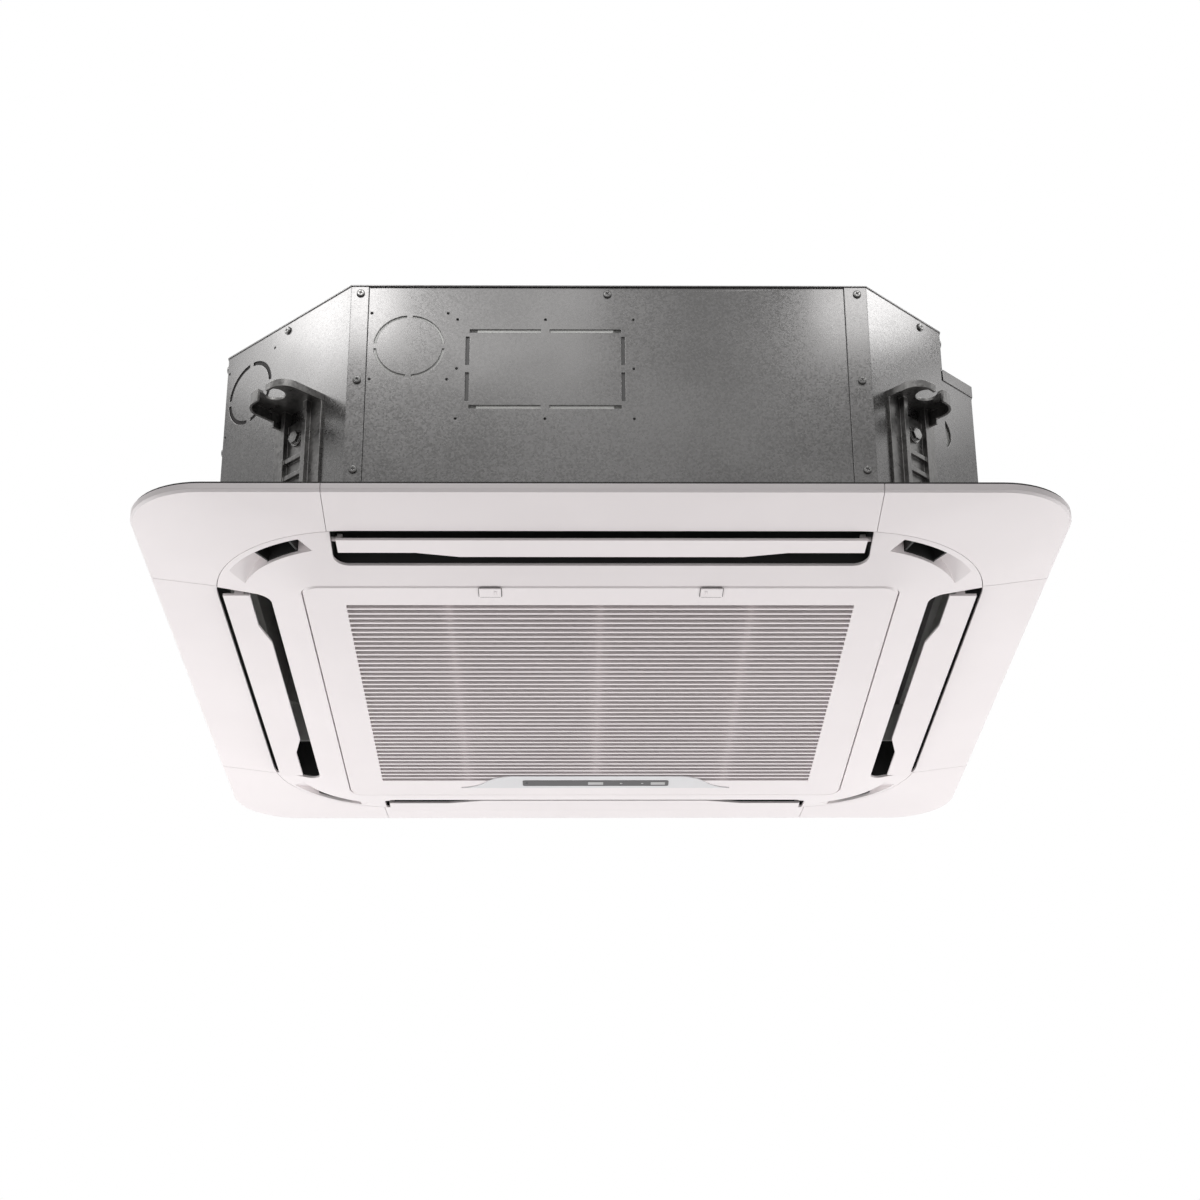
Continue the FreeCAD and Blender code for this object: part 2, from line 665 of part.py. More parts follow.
def duct_knock_out():
    """Slits of the rectangular knock-out and the holes round it, in the front plate."""
    y0, y1 = -BODY_HALF - SHEET, -BODY_HALF + SHEET + SHEET
    wide, high = DUCT_W / 2, DUCT_H / 2
    cuts = []
    for end in (-1, 1):
        for half in (-1, 1):
            xs = sorted((DUCT_X + half * DUCT_BRIDGE / 2, DUCT_X + half * (wide - DUCT_SLIT)))
            zs = sorted((DUCT_Z + end * high, DUCT_Z + end * (high - DUCT_SLIT)))
            cuts.append(box(xs[0], xs[1], y0, y1, zs[0], zs[1]))
            xs = sorted((DUCT_X + end * wide, DUCT_X + end * (wide - DUCT_SLIT)))
            zs = sorted((DUCT_Z + half * DUCT_BRIDGE / 2, DUCT_Z + half * (high - DUCT_BRIDGE)))
            cuts.append(box(xs[0], xs[1], y0, y1, zs[0], zs[1]))
    for i in (-1, 0, 1):
        for j in (-1, 0, 1):
            if i or j:
                x = DUCT_X + i * DUCT_HOLE_PITCH_X / 2
                z = DUCT_Z + j * DUCT_HOLE_PITCH_Z / 2
                cuts.append(bar_y(x, z, y0, y1, DOT_R))
    return Part.makeCompound(cuts)


def side_plates():
    """Front, rear, left and right plates of the casing."""
    wall = sheet_ring(UPPER, 0, SHEET, BODY_BOTTOM, WALL_TOP)
    x0, x1 = -LEFT_CORNER + PLATE_GAP, RIGHT_CORNER - PLATE_GAP
    side = LEFT_CORNER - PLATE_GAP
    far = OVERRUN + BODY_HALF
    front = wall.common(box(x0, x1, -far, -BODY_HALF + INNER_GAP, -far, far)).cut(SCREW_HOLES)
    front = front.cut([duct_knock_out(), round_knock_out(KNOCK_X, KNOCK_Z, BODY_HALF, KNOCK_SLIT)])
    rear = wall.common(box(x0, x1, BODY_HALF - INNER_GAP, far, -far, far)).cut(SCREW_HOLES)
    left = wall.common(box(-far, -BODY_HALF + INNER_GAP, -side, side, -far, far)).cut(SCREW_HOLES)
    reach = CASE_CORNER - PLATE_GAP
    right = box(CASE_RIGHT - SHEET, CASE_RIGHT, -reach, reach, SIDE_BOX_TOP - SHEET, WALL_TOP)
    return {"front_side_plate": front, "rear_side_plate": rear, "left_side_plate": left,
            "right_side_plate": right.cut(SCREW_HOLES)}


def corner_plates():
    """Four corner plates that lap over the side plates, with the holes of what they carry."""
    wall = sheet_ring(UPPER, -SHEET, 0, BODY_BOTTOM, WALL_TOP)
    far = OVERRUN + BODY_HALF
    plates = {}
    for name, (side, end) in CORNERS.items():
        if side > 0:
            region = box(RIGHT_CORNER - RIGHT_LAP, far, -far, -CASE_CORNER + SIDE_LAP, -far, far)
            below = box(CASE_RIGHT - PLATE_GAP, far, -far, 0, -far, SIDE_BOX_TOP + PLATE_GAP)
            region = region.cut(below)
        else:
            region = box(LEFT_CORNER - LEFT_LAP, far, -far, -LEFT_CORNER + LEFT_LAP, -far, far)
            region = region.mirror(ORIGIN, X_AXIS)
        if end > 0:
            region = region.mirror(ORIGIN, Y_AXIS)
        face = corner_face(side)
        cuts = [SCREW_HOLES, to_corner(hanger_bolt_hole(face), side, end)]
        if name == "front_left":
            knock_out = round_knock_out(SIDE_KNOCK_SHIFT, SIDE_KNOCK_Z, face, SIDE_KNOCK_SLIT)
            cuts.append(to_corner(knock_out, side, end))
        if name == "rear_left":
            cuts += pipe_holes()
        plates["corner_plate_" + name] = wall.common(region).cut(cuts)
    return plates


def side_box():
    """Low box on the right, with a cable hole half hidden by the front corner plate it laps behind."""
    start = CASE_RIGHT - SIDE_BOX_LAP
    far = OVERRUN + BODY_HALF
    wall = sheet_ring(LOWER, 0, SHEET, BODY_BOTTOM, SIDE_BOX_TOP - SHEET)
    edge = (CASE_RIGHT - CASE_CORNER) / DIAGONAL - CABLE_INSET
    hole = bar_y(edge, CABLE_Z, -RIGHT_FACE - SHEET, -RIGHT_FACE + SHEET + SHEET, CABLE_R)
    return wall.common(box(start, far, -far, far, -far, far)).cut(to_corner(hole, 1, -1))


def side_box_lid():
    """Lid of the side box: a flat top, a turned-down lip and an upstand on the casing."""
    start = CASE_RIGHT + SHEET + PLATE_GAP
    far = OVERRUN + BODY_HALF
    region = box(start, far, -far, far, -far, far)
    top = slab(inset(LOWER, -SHEET), SIDE_BOX_TOP - SHEET, SIDE_BOX_TOP).common(region)
    lip = sheet_ring(LOWER, -SHEET, 0, SIDE_BOX_TOP - SIDE_BOX_LIP, SIDE_BOX_TOP).common(region)
    reach = CASE_CORNER - SIDE_LAP - PLATE_GAP
    upstand = box(CASE_RIGHT, CASE_RIGHT + SHEET, -reach, reach,
                  SIDE_BOX_TOP - SHEET, SIDE_BOX_TOP + SIDE_BOX_UPSTAND)
    web = box(CASE_RIGHT, start, -reach, reach, SIDE_BOX_TOP - SHEET, SIDE_BOX_TOP)
    return join([top, lip, upstand, web])


def motor_places():
    """Plan places of the motor's bolts."""
    step = MOTOR_LUG_R / DIAGONAL
    return [(i * step, j * step) for i in (-1, 1) for j in (-1, 1)]


def top_plate():
    """Top plate with a turned-down lip, a bead ring round the motor and straight beads."""
    flat = slab(inset(UPPER, -SHEET - TOP_OVERHANG), WALL_TOP, BODY_TOP)
    lip = sheet_ring(UPPER, SHEET, SHEET + SHEET, WALL_TOP - TOP_LIP, WALL_TOP)
    ring = rod(0, 0, BODY_TOP, BODY_TOP + BEAD_H, BEAD_RING_R + BEAD_W)
    ring = ring.cut(rod(0, 0, BODY_TOP, BODY_TOP + BEAD_H, BEAD_RING_R))
    beads = []
    inner, outer = BEAD_RING_R + BEAD_W / 2, CASE_RIGHT - BEAD_END_GAP
    for i in range(BEAD_COUNT):
        bead = box(inner, outer, -BEAD_W / 2, BEAD_W / 2, BODY_TOP, BODY_TOP + BEAD_H)
        bead.rotate(ORIGIN, Z_AXIS, 360 * i / BEAD_COUNT)
        beads.append(bead)
    holes = [rod(x, y, WALL_TOP, BODY_TOP, MOTOR_BOLT_R + MOTOR_BOLT_CLEARANCE)
             for x, y in motor_places()]
    return join([flat, lip, ring] + beads).cut([SCREW_HOLES] + holes)


# Hanger brackets, drawn facing the front and then turned to their corners


def rod_place():
    """Where the hanging rod passes, along and out from the diagonal."""
    x, y = BODY_HALF - ROD_IN_X, BODY_HALF - ROD_IN_Y
    return (x - y) / DIAGONAL, (x + y) / DIAGONAL


def hanger_bolt_hole(face):
    return bar_y(HANGER_MID, HANGER_BOLT_Z, -face - OVERRUN, -face + SHEET,
                 HANGER_BOLT_R + HANGER_BOLT_CLEARANCE)


def hook_block(rod_x, depth, z0, z1, seat):
    """The hook's plan as a block, moved inwards by depth on its three free sides."""
    half = HOOK_HALF - depth
    tip = -rod_place()[1] - ROD_HOLE_R - HOOK_MARGIN + depth
    block = box(rod_x - half, rod_x + half, tip, seat, z0, z1)
    round_edges = [edge for edge in block.Edges
                   if edge.BoundBox.YMax - tip < depth + SHEET and edge.BoundBox.XLength < SHEET]
    return block.makeFillet(HOOK_CORNER_R - depth, round_edges)


def hook(seat):
    """Open hook for the hanging rod, with turned-down lips and a tab at the bracket."""
    rod_x, rod_out = rod_place()
    under = HOOK_Z - HANGER_T
    low = under - HOOK_LIP
    tip = -rod_out - OVERRUN
    cuts = [rod(rod_x, -rod_out, low, HOOK_Z, ROD_HOLE_R),
            box(rod_x - ROD_MOUTH / 2, rod_x + ROD_MOUTH / 2, tip, -rod_out, low, HOOK_Z)]
    rim = hook_block(rod_x, 0, low, under, seat).cut(hook_block(rod_x, HANGER_T, low, under, seat))
    inner_half = box(rod_x, rod_x + OVERRUN, tip, seat, low, under)
    outer_half = box(rod_x - OVERRUN, rod_x, tip, seat, under - HOOK_SMALL_LIP, under)
    x1 = rod_x + HOOK_HALF
    tab = box(x1 - HANGER_T, x1, seat - HANGER_T - HOOK_TAB_W, seat, under - HOOK_TAB_H, under)
    plate = hook_block(rod_x, 0, under, HOOK_Z, seat)
    return join([plate, rim.common(inner_half), rim.common(outer_half), tab]).cut(cuts)


def hanger(face):
    """Bracket with two ribs, steps between them, an open hook and a foot for the panel screw."""
    seat = -face - SHEET
    front = seat - HANGER_T
    x0, x1 = HANGER_MID - HANGER_HALF, HANGER_MID + HANGER_HALF
    pieces = [box(x0, x1, front, seat, BODY_BOTTOM, HOOK_Z), hook(seat)]
    for way in (-1, 1):
        mid = HANGER_MID + way * HANGER_RIB_SHIFT
        pieces.append(box(mid - HANGER_RIB_W / 2, mid + HANGER_RIB_W / 2, front - HANGER_RIB_H, front,
                          BODY_BOTTOM, HOOK_Z))
    inner = HANGER_RIB_SHIFT - HANGER_RIB_W / 2
    for i in range(HANGER_STEP_COUNT):
        z = HANGER_BOLT_Z - HANGER_STEP_DROP - HANGER_STEP_PITCH * i
        pieces.append(box(HANGER_MID - inner, HANGER_MID + inner, front - HANGER_STEP_T, front,
                          z - HANGER_STEP_H, z))
    screw_out = PANEL_SCREW_AT * DIAGONAL
    pieces.append(box(-FOOT_HALF, FOOT_HALF, -screw_out - FOOT_MARGIN, seat,
                      BODY_BOTTOM, BODY_BOTTOM + HANGER_T))
    window_top = HOOK_Z - HANGER_T
    window = box(HANGER_MID - inner, HANGER_MID + inner, front, seat, window_top - HANGER_WINDOW_H, window_top)
    foot_hole = rod(0, -screw_out, BODY_BOTTOM, BODY_BOTTOM + HANGER_T,
                    PANEL_SCREW_R + PANEL_SCREW_CLEARANCE)
    return join(pieces).cut([window, hanger_bolt_hole(face), foot_hole])


def hanger_bolt(face):
    """Hex flange bolt that holds a bracket on its corner plate."""
    seat = -face - SHEET - HANGER_T
    flange = bar_y(HANGER_MID, HANGER_BOLT_Z, seat - HANGER_BOLT_FLANGE_H, seat, HANGER_BOLT_FLANGE_R)
    head = hexagon(0, 0, 0, HANGER_BOLT_HEAD_H, HANGER_BOLT_HEAD_R)
    head.rotate(ORIGIN, X_AXIS, 90)
    head.translate(V(HANGER_MID, seat, HANGER_BOLT_Z))
    shank = bar_y(HANGER_MID, HANGER_BOLT_Z, seat, -face, HANGER_BOLT_R)
    return join([flange, head, shank])


def hangers():
    """Four brackets and the group of their bolts."""
    shapes, bolts = {}, []
    for name, (side, end) in CORNERS.items():
        shapes["hanger_" + name] = to_corner(hanger(corner_face(side)), side, end)
        bolts.append(to_corner(hanger_bolt(corner_face(side)), side, end))
    shapes["hanger_bolts"] = Part.makeCompound(bolts)
    return shapes


# Pipes, pump and float at the rear left corner


def gutter_place(out, back):
    """A place in the gutter from its inner wall and its inner corner, along and out from the diagonal."""
    return (out + back) / DIAGONAL, -(GUTTER_IN + GUTTER_IN + out - back) / DIAGONAL


def pipe_holes():
    """Holes of the two pipes and the drain in the rear left corner."""
    rows = ((GAS_SHIFT, PIPE_Z, GAS_PIPE_R), (LIQUID_SHIFT, PIPE_Z, LIQUID_PIPE_R),
            (gutter_place(PUMP_OUT, PUMP_BACK)[0], DRAIN_Z, DRAIN_R))
    return [to_corner(bar_y(x, z, -LEFT_FACE - OVERRUN, -LEFT_FACE + PIPE_INSIDE,
                            r + PIPE_CLEARANCE), -1, 1) for x, z, r in rows]


def pipe(shift, r, union_r):
    """Refrigerant pipe with a sealing flange, a hexagon and a flare union on its end."""
    seat = -LEFT_FACE - SHEET
    hex_end = seat - PIPE_FLANGE_T - UNION_HEX_H
    nut = hexagon(0, 0, 0, UNION_HEX_H, union_r + PIPE_FLANGE_T)
    nut.rotate(ORIGIN, X_AXIS, 90)
    nut.translate(V(shift, seat - PIPE_FLANGE_T, PIPE_Z))
    shape = join([
        bar_y(shift, PIPE_Z, hex_end, -LEFT_FACE + PIPE_INSIDE, r),
        bar_y(shift, PIPE_Z, seat - PIPE_FLANGE_T, seat, r + PIPE_CLEARANCE + PIPE_FLANGE_LIP),
        nut,
        bar_y(shift, PIPE_Z, hex_end - UNION_LENGTH, hex_end, union_r),
    ])
    return to_corner(shape, -1, 1)


def drain_outlet():
    """Drain pipe from the pump through the corner plate, with a flange on the plate."""
    seat = -LEFT_FACE - SHEET
    x, pump_y = gutter_place(PUMP_OUT, PUMP_BACK)
    start = pump_y - PUMP_R
    shape = join([
        bar_y(x, DRAIN_Z, seat - DRAIN_LENGTH, start, DRAIN_R),
        bar_y(x, DRAIN_Z, seat - PIPE_FLANGE_T, seat, DRAIN_R + PIPE_CLEARANCE + PIPE_FLANGE_LIP),
    ])
    bore = bar_y(x, DRAIN_Z, seat - DRAIN_LENGTH, start, DRAIN_BORE_R)
    return to_corner(shape.cut(bore), -1, 1)


def drain_pump():
    """Condensate pump: a suction leg in the gutter and a motor body above it."""
    x, y = gutter_place(PUMP_OUT, PUMP_BACK)
    floor = BODY_BOTTOM + GUTTER_FLOOR
    body = join([rod(x, y, floor, PUMP_BODY_Z, PUMP_LEG_R), rod(x, y, PUMP_BODY_Z, PUMP_TOP, PUMP_R)])
    return to_corner(body, -1, 1)


def float_guide():
    """Stem of the float switch, on the gutter floor."""
    x, y = gutter_place(FLOAT_OUT, FLOAT_BACK)
    floor = BODY_BOTTOM + GUTTER_FLOOR
    stem = join([rod(x, y, floor, floor + FLOAT_BASE_H, FLOAT_BASE_R),
                 rod(x, y, floor + FLOAT_BASE_H, floor + FLOAT_STEM_H, FLOAT_STEM_R)])
    return to_corner(stem, -1, 1)


def float_ring():
    """Float that rises on its stem."""
    x, y = gutter_place(FLOAT_OUT, FLOAT_BACK)
    low = BODY_BOTTOM + GUTTER_FLOOR + FLOAT_BASE_H + FLOAT_REST_GAP
    ring = rod(x, y, low, low + FLOAT_H, FLOAT_R)
    ring = ring.cut(rod(x, y, low, low + FLOAT_H, FLOAT_STEM_R + FLOAT_CLEARANCE))
    return to_corner(ring, -1, 1)


# Liner, pan, coil and fan


def foam_liner():
    """Foam inside the casing walls above the drain pan, stepped where the side box ends."""
    step_top = SIDE_BOX_TOP - SHEET - COLLAR_GAP
    step_low = step_top - LINER_T
    inner = INNER_GAP + LINER_T
    low = sheet_ring(LOWER, INNER_GAP, inner, PAN_TOP, step_top)
    high = sheet_ring(UPPER, INNER_GAP, inner, step_low, WALL_TOP - COLLAR_GAP)
    step = slab(inset(LOWER, INNER_GAP), step_low, step_top).cut(slab(inset(UPPER, inner), step_low, step_top))
    return join([low, high, step]).cut(pipe_holes())


def drain_pan():
    """Foam pan with the intake opening, a gutter under the coil and four outlet ducts."""
    pan = slab(inset(LOWER, INNER_GAP), BODY_BOTTOM, PAN_TOP)
    opening = square_block(PAN_OPEN_HALF, PAN_OPEN_R, BODY_BOTTOM, PAN_TOP)
    gutter = square_ring(GUTTER_IN, GUTTER_OUT, GUTTER_R, GUTTER_R, BODY_BOTTOM + GUTTER_FLOOR, PAN_TOP)
    long_half = OUTLET_HALF - PAN_OUTLET_INSET
    outlet = box(-long_half, long_half, -SEAM_HALF + PAN_OUTLET_INSET + DUCT_LIFT,
                 -OUTLET_IN - PAN_OUTLET_INSET, BODY_BOTTOM, PAN_TOP)
    within = slab(inset(LOWER, INNER_GAP + PAN_WALL), BODY_BOTTOM, PAN_TOP)
    outlets = [to_side(outlet, turn).common(within) for turn in SIDES.values()]
    return pan.cut([opening, gutter] + outlets)


def tube_places():
    """Radius and height of every tube of the coil."""
    rise = (COIL_HIGH - COIL_LOW) / TUBE_ROWS
    first = -(TUBE_COLUMNS - 1) / 2
    return [(COIL_MID + (first + c) * TUBE_COLUMN_PITCH, COIL_LOW + rise * (i + 0.5))
            for c in range(TUBE_COLUMNS) for i in range(TUBE_ROWS)]


def run_ends():
    """First and last fin place of each run, drawn at the front: front, right, rear and left."""
    return {0: (-COIL_LONG, COIL_LONG), 1: (-COIL_LONG, COIL_LONG),
            2: (-COIL_LONG, COIL_REAR_END), 3: (-COIL_REAR_END, COIL_LONG)}


def evaporator_fins():
    """Aluminium fins of the four runs, each with holes for the tubes."""
    fin = box(0, FIN_T, -COIL_OUT, -COIL_IN, COIL_LOW, COIL_HIGH)
    fin = fin.cut([bar_x(-at, z, 0, FIN_T, TUBE_R + TUBE_CLEARANCE) for at, z in tube_places()])
    fins = []
    for turn, (start, end) in run_ends().items():
        count = int((end - start) / FIN_PITCH) + 1
        for i in range(count):
            copy = fin.copy()
            copy.translate(V(start + i * (end - start - FIN_T) / (count - 1), 0, 0))
            copy.rotate(ORIGIN, Z_AXIS, 90 * turn)
            fins.append(copy)
    return Part.makeCompound(fins)


def tube(at, z):
    """One tube round three corners, from the left run to the rear run, open at the rear left."""
    bend = COIL_BEND_R - (COIL_OUT - at)
    flat = at - bend
    dip = bend / DIAGONAL
    end = COIL_REAR_END + TUBE_END
    corners = [(-1, -1), (1, -1), (1, 1)]
    edges = []
    here = V(-at, end, z)
    for i, (sx, sy) in enumerate(corners):
        if i == 1:
            a, b = V(sx * flat, sy * at, z), V(sx * at, sy * flat, z)
        else:
            a, b = V(sx * at, sy * flat, z), V(sx * flat, sy * at, z)
        mid = V(sx * (flat + dip), sy * (flat + dip), z)
        edges += [Part.LineSegment(here, a).toShape(), Part.Arc(a, mid, b).toShape()]
        here = b
    edges.append(Part.LineSegment(here, V(-end, at, z)).toShape())
    section = Part.Wire([Part.makeCircle(TUBE_R, V(-at, end, z), Y_AXIS)])
    return Part.Wire(edges).makePipeShell([section], True, False)


def return_bends(at, rows):
    """Half-round bends that join neighbouring tubes at the coil's two ends."""
    end = COIL_REAR_END + TUBE_END
    bends = []
    ends = ((V(-at, end, 0), Y_AXIS, X_AXIS, 0), (V(-end, at, 0), -X_AXIS, Y_AXIS, 1))
    for start, way, place, first in ends:
        for i in range(first, len(rows) - 1, 2):
            low = start + V(0, 0, rows[i])
            mid = start + V(0, 0, (rows[i] + rows[i + 1]) / 2)
            disc = Part.Face(Part.Wire([Part.makeCircle(TUBE_R, low, way)]))
            bends.append(disc.revolve(mid, place, 180))
    return bends


def evaporator_tubes():
    """Tubes of the coil with their return bends, one solid for each tube or bend."""
    solids = [tube(at, z) for at, z in tube_places()]
    for at in sorted({place[0] for place in tube_places()}):
        rows = sorted(z for radius, z in tube_places() if radius == at)
        solids += return_bends(at, rows)
    return Part.makeCompound(solids)


def bell_mouth():
    """Intake plate under the pan with a curved throat that reaches into the fan's eye."""
    centre_z = BELL_LOW + BELL_CURVE_R
    plate = square_block(BELL_HALF, PAN_OPEN_R, BELL_LOW, BODY_BOTTOM)
    plate = plate.cut(rod(0, 0, BELL_LOW, BODY_BOTTOM, BELL_MOUTH_R))
    dip = 1 - 1 / DIAGONAL
    arcs = []
    for r in (BELL_CURVE_R, BELL_CURVE_R - BELL_T):
        points = [(BELL_MOUTH_R, centre_z - r), (BELL_MOUTH_R - r + dip * r, centre_z - r + dip * r),
                  (BELL_MOUTH_R - r, centre_z)]
        arcs.append([V(p, 0, z) for p, z in points])
    outer, inner = arcs
    top = centre_z + BELL_LIP
    lip = [outer[2], V(BELL_THROAT_R, 0, top), V(BELL_THROAT_R + BELL_T, 0, top), inner[2]]
    edges = [Part.Arc(*outer).toShape(), Part.Arc(*inner).toShape(),
             Part.LineSegment(outer[0], inner[0]).toShape()]
    edges += [Part.LineSegment(a, b).toShape() for a, b in zip(lip, lip[1:])]
    section = Part.Face(Part.Wire(Part.__sortEdges__(edges)))
    return join([plate, section.revolve(ORIGIN, Z_AXIS, 360)])


def blade_profile():
    """Plan of one backward-leaning blade: two arcs with short ends."""
    def at(r, degrees):
        a = math.radians(degrees)
        return V(r * math.cos(a), r * math.sin(a), 0)
    reach = FAN_R - FAN_PLATE_T
    start, end = at(BLADE_IN_R, 0), at(reach, -BLADE_SWEEP)
    across = V(0, 0, 1).cross(end - start)
    length = across.Length
    across.normalize()
    thick = across * BLADE_T
    mid = (start + end) * 0.5 + across * (length * BLADE_BULGE_SHARE)
    edges = [Part.Arc(start, mid, end).toShape(), Part.LineSegment(end, end + thick).toShape(),
             Part.Arc(end + thick, mid + thick, start + thick).toShape(),
             Part.LineSegment(start + thick, start).toShape()]
    return Part.Face(Part.Wire(edges))


def turbo_fan():
    """Turbo fan: hub, back plate, curved blades and a shroud with the eye."""
    plate_low = FAN_TOP - FAN_PLATE_T
    back = rod(0, 0, plate_low, FAN_TOP, FAN_R)
    hub = rod(0, 0, HUB_LOW, FAN_TOP, FAN_HUB_R)
    eye_top = FAN_EYE_Z + FAN_EYE_H
    shroud = spun([
        (FAN_EYE_R, FAN_EYE_Z), (FAN_EYE_R + FAN_PLATE_T, FAN_EYE_Z), (FAN_EYE_R + FAN_PLATE_T, eye_top),
        (FAN_R, FAN_OUTLET_Z), (FAN_R, FAN_OUTLET_Z + FAN_PLATE_T), (FAN_EYE_R, eye_top + FAN_PLATE_T / 2),
    ])
    passage = spun([
        (0, plate_low), (FAN_R, plate_low), (FAN_R, FAN_OUTLET_Z + FAN_PLATE_T / 2),
        (FAN_EYE_R + FAN_PLATE_T / 2, eye_top), (0, eye_top),
    ])
    blade = blade_profile().extrude(V(0, 0, FAN_TOP)).common(passage)
    blades = []
    for i in range(BLADE_COUNT):
        copy = blade.copy()
        copy.rotate(ORIGIN, Z_AXIS, 360 * i / BLADE_COUNT)
        blades.append(copy)
    fan = join([back, hub, shroud] + blades)
    return fan.cut(rod(0, 0, HUB_LOW, FAN_TOP, SHAFT_R + SHAFT_CLEARANCE))


def motor_shaft():
    return rod(0, 0, HUB_LOW - SHAFT_TAIL, MOTOR_LOW + SHAFT_IN_MOTOR, SHAFT_R)


def fan_nut():
    nut = hexagon(0, 0, HUB_LOW - NUT_H, HUB_LOW, NUT_R)
    return nut.cut(rod(0, 0, HUB_LOW - NUT_H, HUB_LOW, SHAFT_R + SHAFT_CLEARANCE))


def fan_motor():
    """Motor can with a lower boss, four lugs and a blind bore for the shaft."""
    top = MOTOR_LOW + MOTOR_H
    pieces = [rod(0, 0, MOTOR_LOW, top, MOTOR_R),
              rod(0, 0, FAN_TOP + MOTOR_BOSS_GAP, MOTOR_LOW, MOTOR_BOSS_R)]
    holes = []
    lug_low = top - MOTOR_LUG_T
    for x, y in motor_places():
        lug = box(0, MOTOR_LUG_R, -MOTOR_LUG_HALF, MOTOR_LUG_HALF, lug_low, top)
        lug.rotate(ORIGIN, Z_AXIS, math.degrees(math.atan2(y, x)))
        pieces += [lug, rod(x, y, lug_low, top, MOTOR_LUG_HALF)]
        holes.append(rod(x, y, lug_low, top, MOTOR_BOLT_R + MOTOR_BOLT_CLEARANCE))
    bore_top = MOTOR_LOW + SHAFT_IN_MOTOR + MOTOR_BOSS_GAP
    holes.append(rod(0, 0, FAN_TOP, bore_top, SHAFT_R + SHAFT_CLEARANCE))
    return join(pieces).cut(holes)


def motor_bushes():
    """Rubber bushes between the motor's lugs and the top plate."""
    low = MOTOR_LOW + MOTOR_H
    return Part.makeCompound([
        rod(x, y, low, WALL_TOP, BUSH_R).cut(rod(x, y, low, WALL_TOP, MOTOR_BOLT_R + MOTOR_BOLT_CLEARANCE))
        for x, y in motor_places()])


def motor_bolts():
    """Bolts through the top plate, with their nuts under the lugs."""
    low = MOTOR_LOW + MOTOR_H - MOTOR_LUG_T
    bolts = []
    for x, y in motor_places():
        bolts.append(join([
            rod(x, y, low, BODY_TOP, MOTOR_BOLT_R),
            hexagon(x, y, BODY_TOP, BODY_TOP + MOTOR_BOLT_HEAD_H, MOTOR_BOLT_HEAD_R),
            hexagon(x, y, low - MOTOR_BOLT_HEAD_H, low, MOTOR_BOLT_HEAD_R),
        ]))
    return Part.makeCompound(bolts)


# Control box under the bell mouth, at the front


def control_box():
    """Open tray under the intake plate."""
    low = BELL_LOW - CONTROL_H
    tray = box(-CONTROL_HALF, CONTROL_HALF, CONTROL_FRONT, CONTROL_REAR, low, BELL_LOW)
    hollow = box(-CONTROL_HALF + SHEET, CONTROL_HALF - SHEET, CONTROL_FRONT + SHEET, CONTROL_REAR - SHEET,
                 low, BELL_LOW - SHEET)
    return tray.cut(hollow)


def control_box_cover():
    low = BELL_LOW - CONTROL_H
    return box(-CONTROL_HALF, CONTROL_HALF, CONTROL_FRONT, CONTROL_REAR, low - SHEET, low)


def control_board():
    """Circuit board on four spacers, with three tall components."""
    roof = BELL_LOW - SHEET
    top = roof - BOARD_RISE
    x = CONTROL_HALF - BOARD_MARGIN
    y0, y1 = CONTROL_FRONT + BOARD_MARGIN, CONTROL_REAR - BOARD_MARGIN
    pieces = [box(-x, x, y0, y1, top - BOARD_T, top)]
    for px in (-x + BOARD_MARGIN, x - BOARD_MARGIN):
        for py in (y0 + BOARD_MARGIN, y1 - BOARD_MARGIN):
            pieces.append(rod(px, py, top, roof, BOARD_RISE / 2))
    mid = (y0 + y1) / 2
    for share in CHIP_SHIFT_SHARES:
        cx = share * x
        pieces.append(box(cx - CHIP_HALF, cx + CHIP_HALF, mid - CHIP_HALF, mid + CHIP_HALF,
                          top - BOARD_T - CHIP_H, top - BOARD_T))
    return join(pieces)


# Panel: skirt of covers and trims, inner frame, gasket and screws


def skirt_body():
    """The outer panel surface from the rim to the arc seam, as a filled solid."""
    rim_half = PANEL_HALF - RIM_ROUND
    rim_r = PANEL_CORNER_R - RIM_ROUND
    rim = square_block(PANEL_HALF, PANEL_CORNER_R, RIM_LOW + RIM_ROUND, FLANGE_TOP)
    edge = taper(rim_half, rim_r, RIM_LOW, PANEL_HALF, PANEL_CORNER_R, RIM_LOW + RIM_ROUND)
    slope = taper(SEAM_HALF, SEAM_R, SEAM_Z, rim_half, rim_r, RIM_LOW)
    return join([rim, edge, slope])


def skirt_shell(body):
    """The skirt's wall, with its middle and its hollow taken out."""
    half = PANEL_HALF - PANEL_WALL
    r = PANEL_CORNER_R - PANEL_WALL
    hollow = join([
        square_block(half, r, RIM_LOW + PANEL_WALL, FLANGE_TOP),
        taper(SEAM_HALF, SEAM_R, SEAM_Z + PANEL_WALL, half, r, RIM_LOW + PANEL_WALL),
    ])
    return body.cut([hollow, square_block(SEAM_HALF, SEAM_R, SEAM_Z, FLANGE_TOP)])


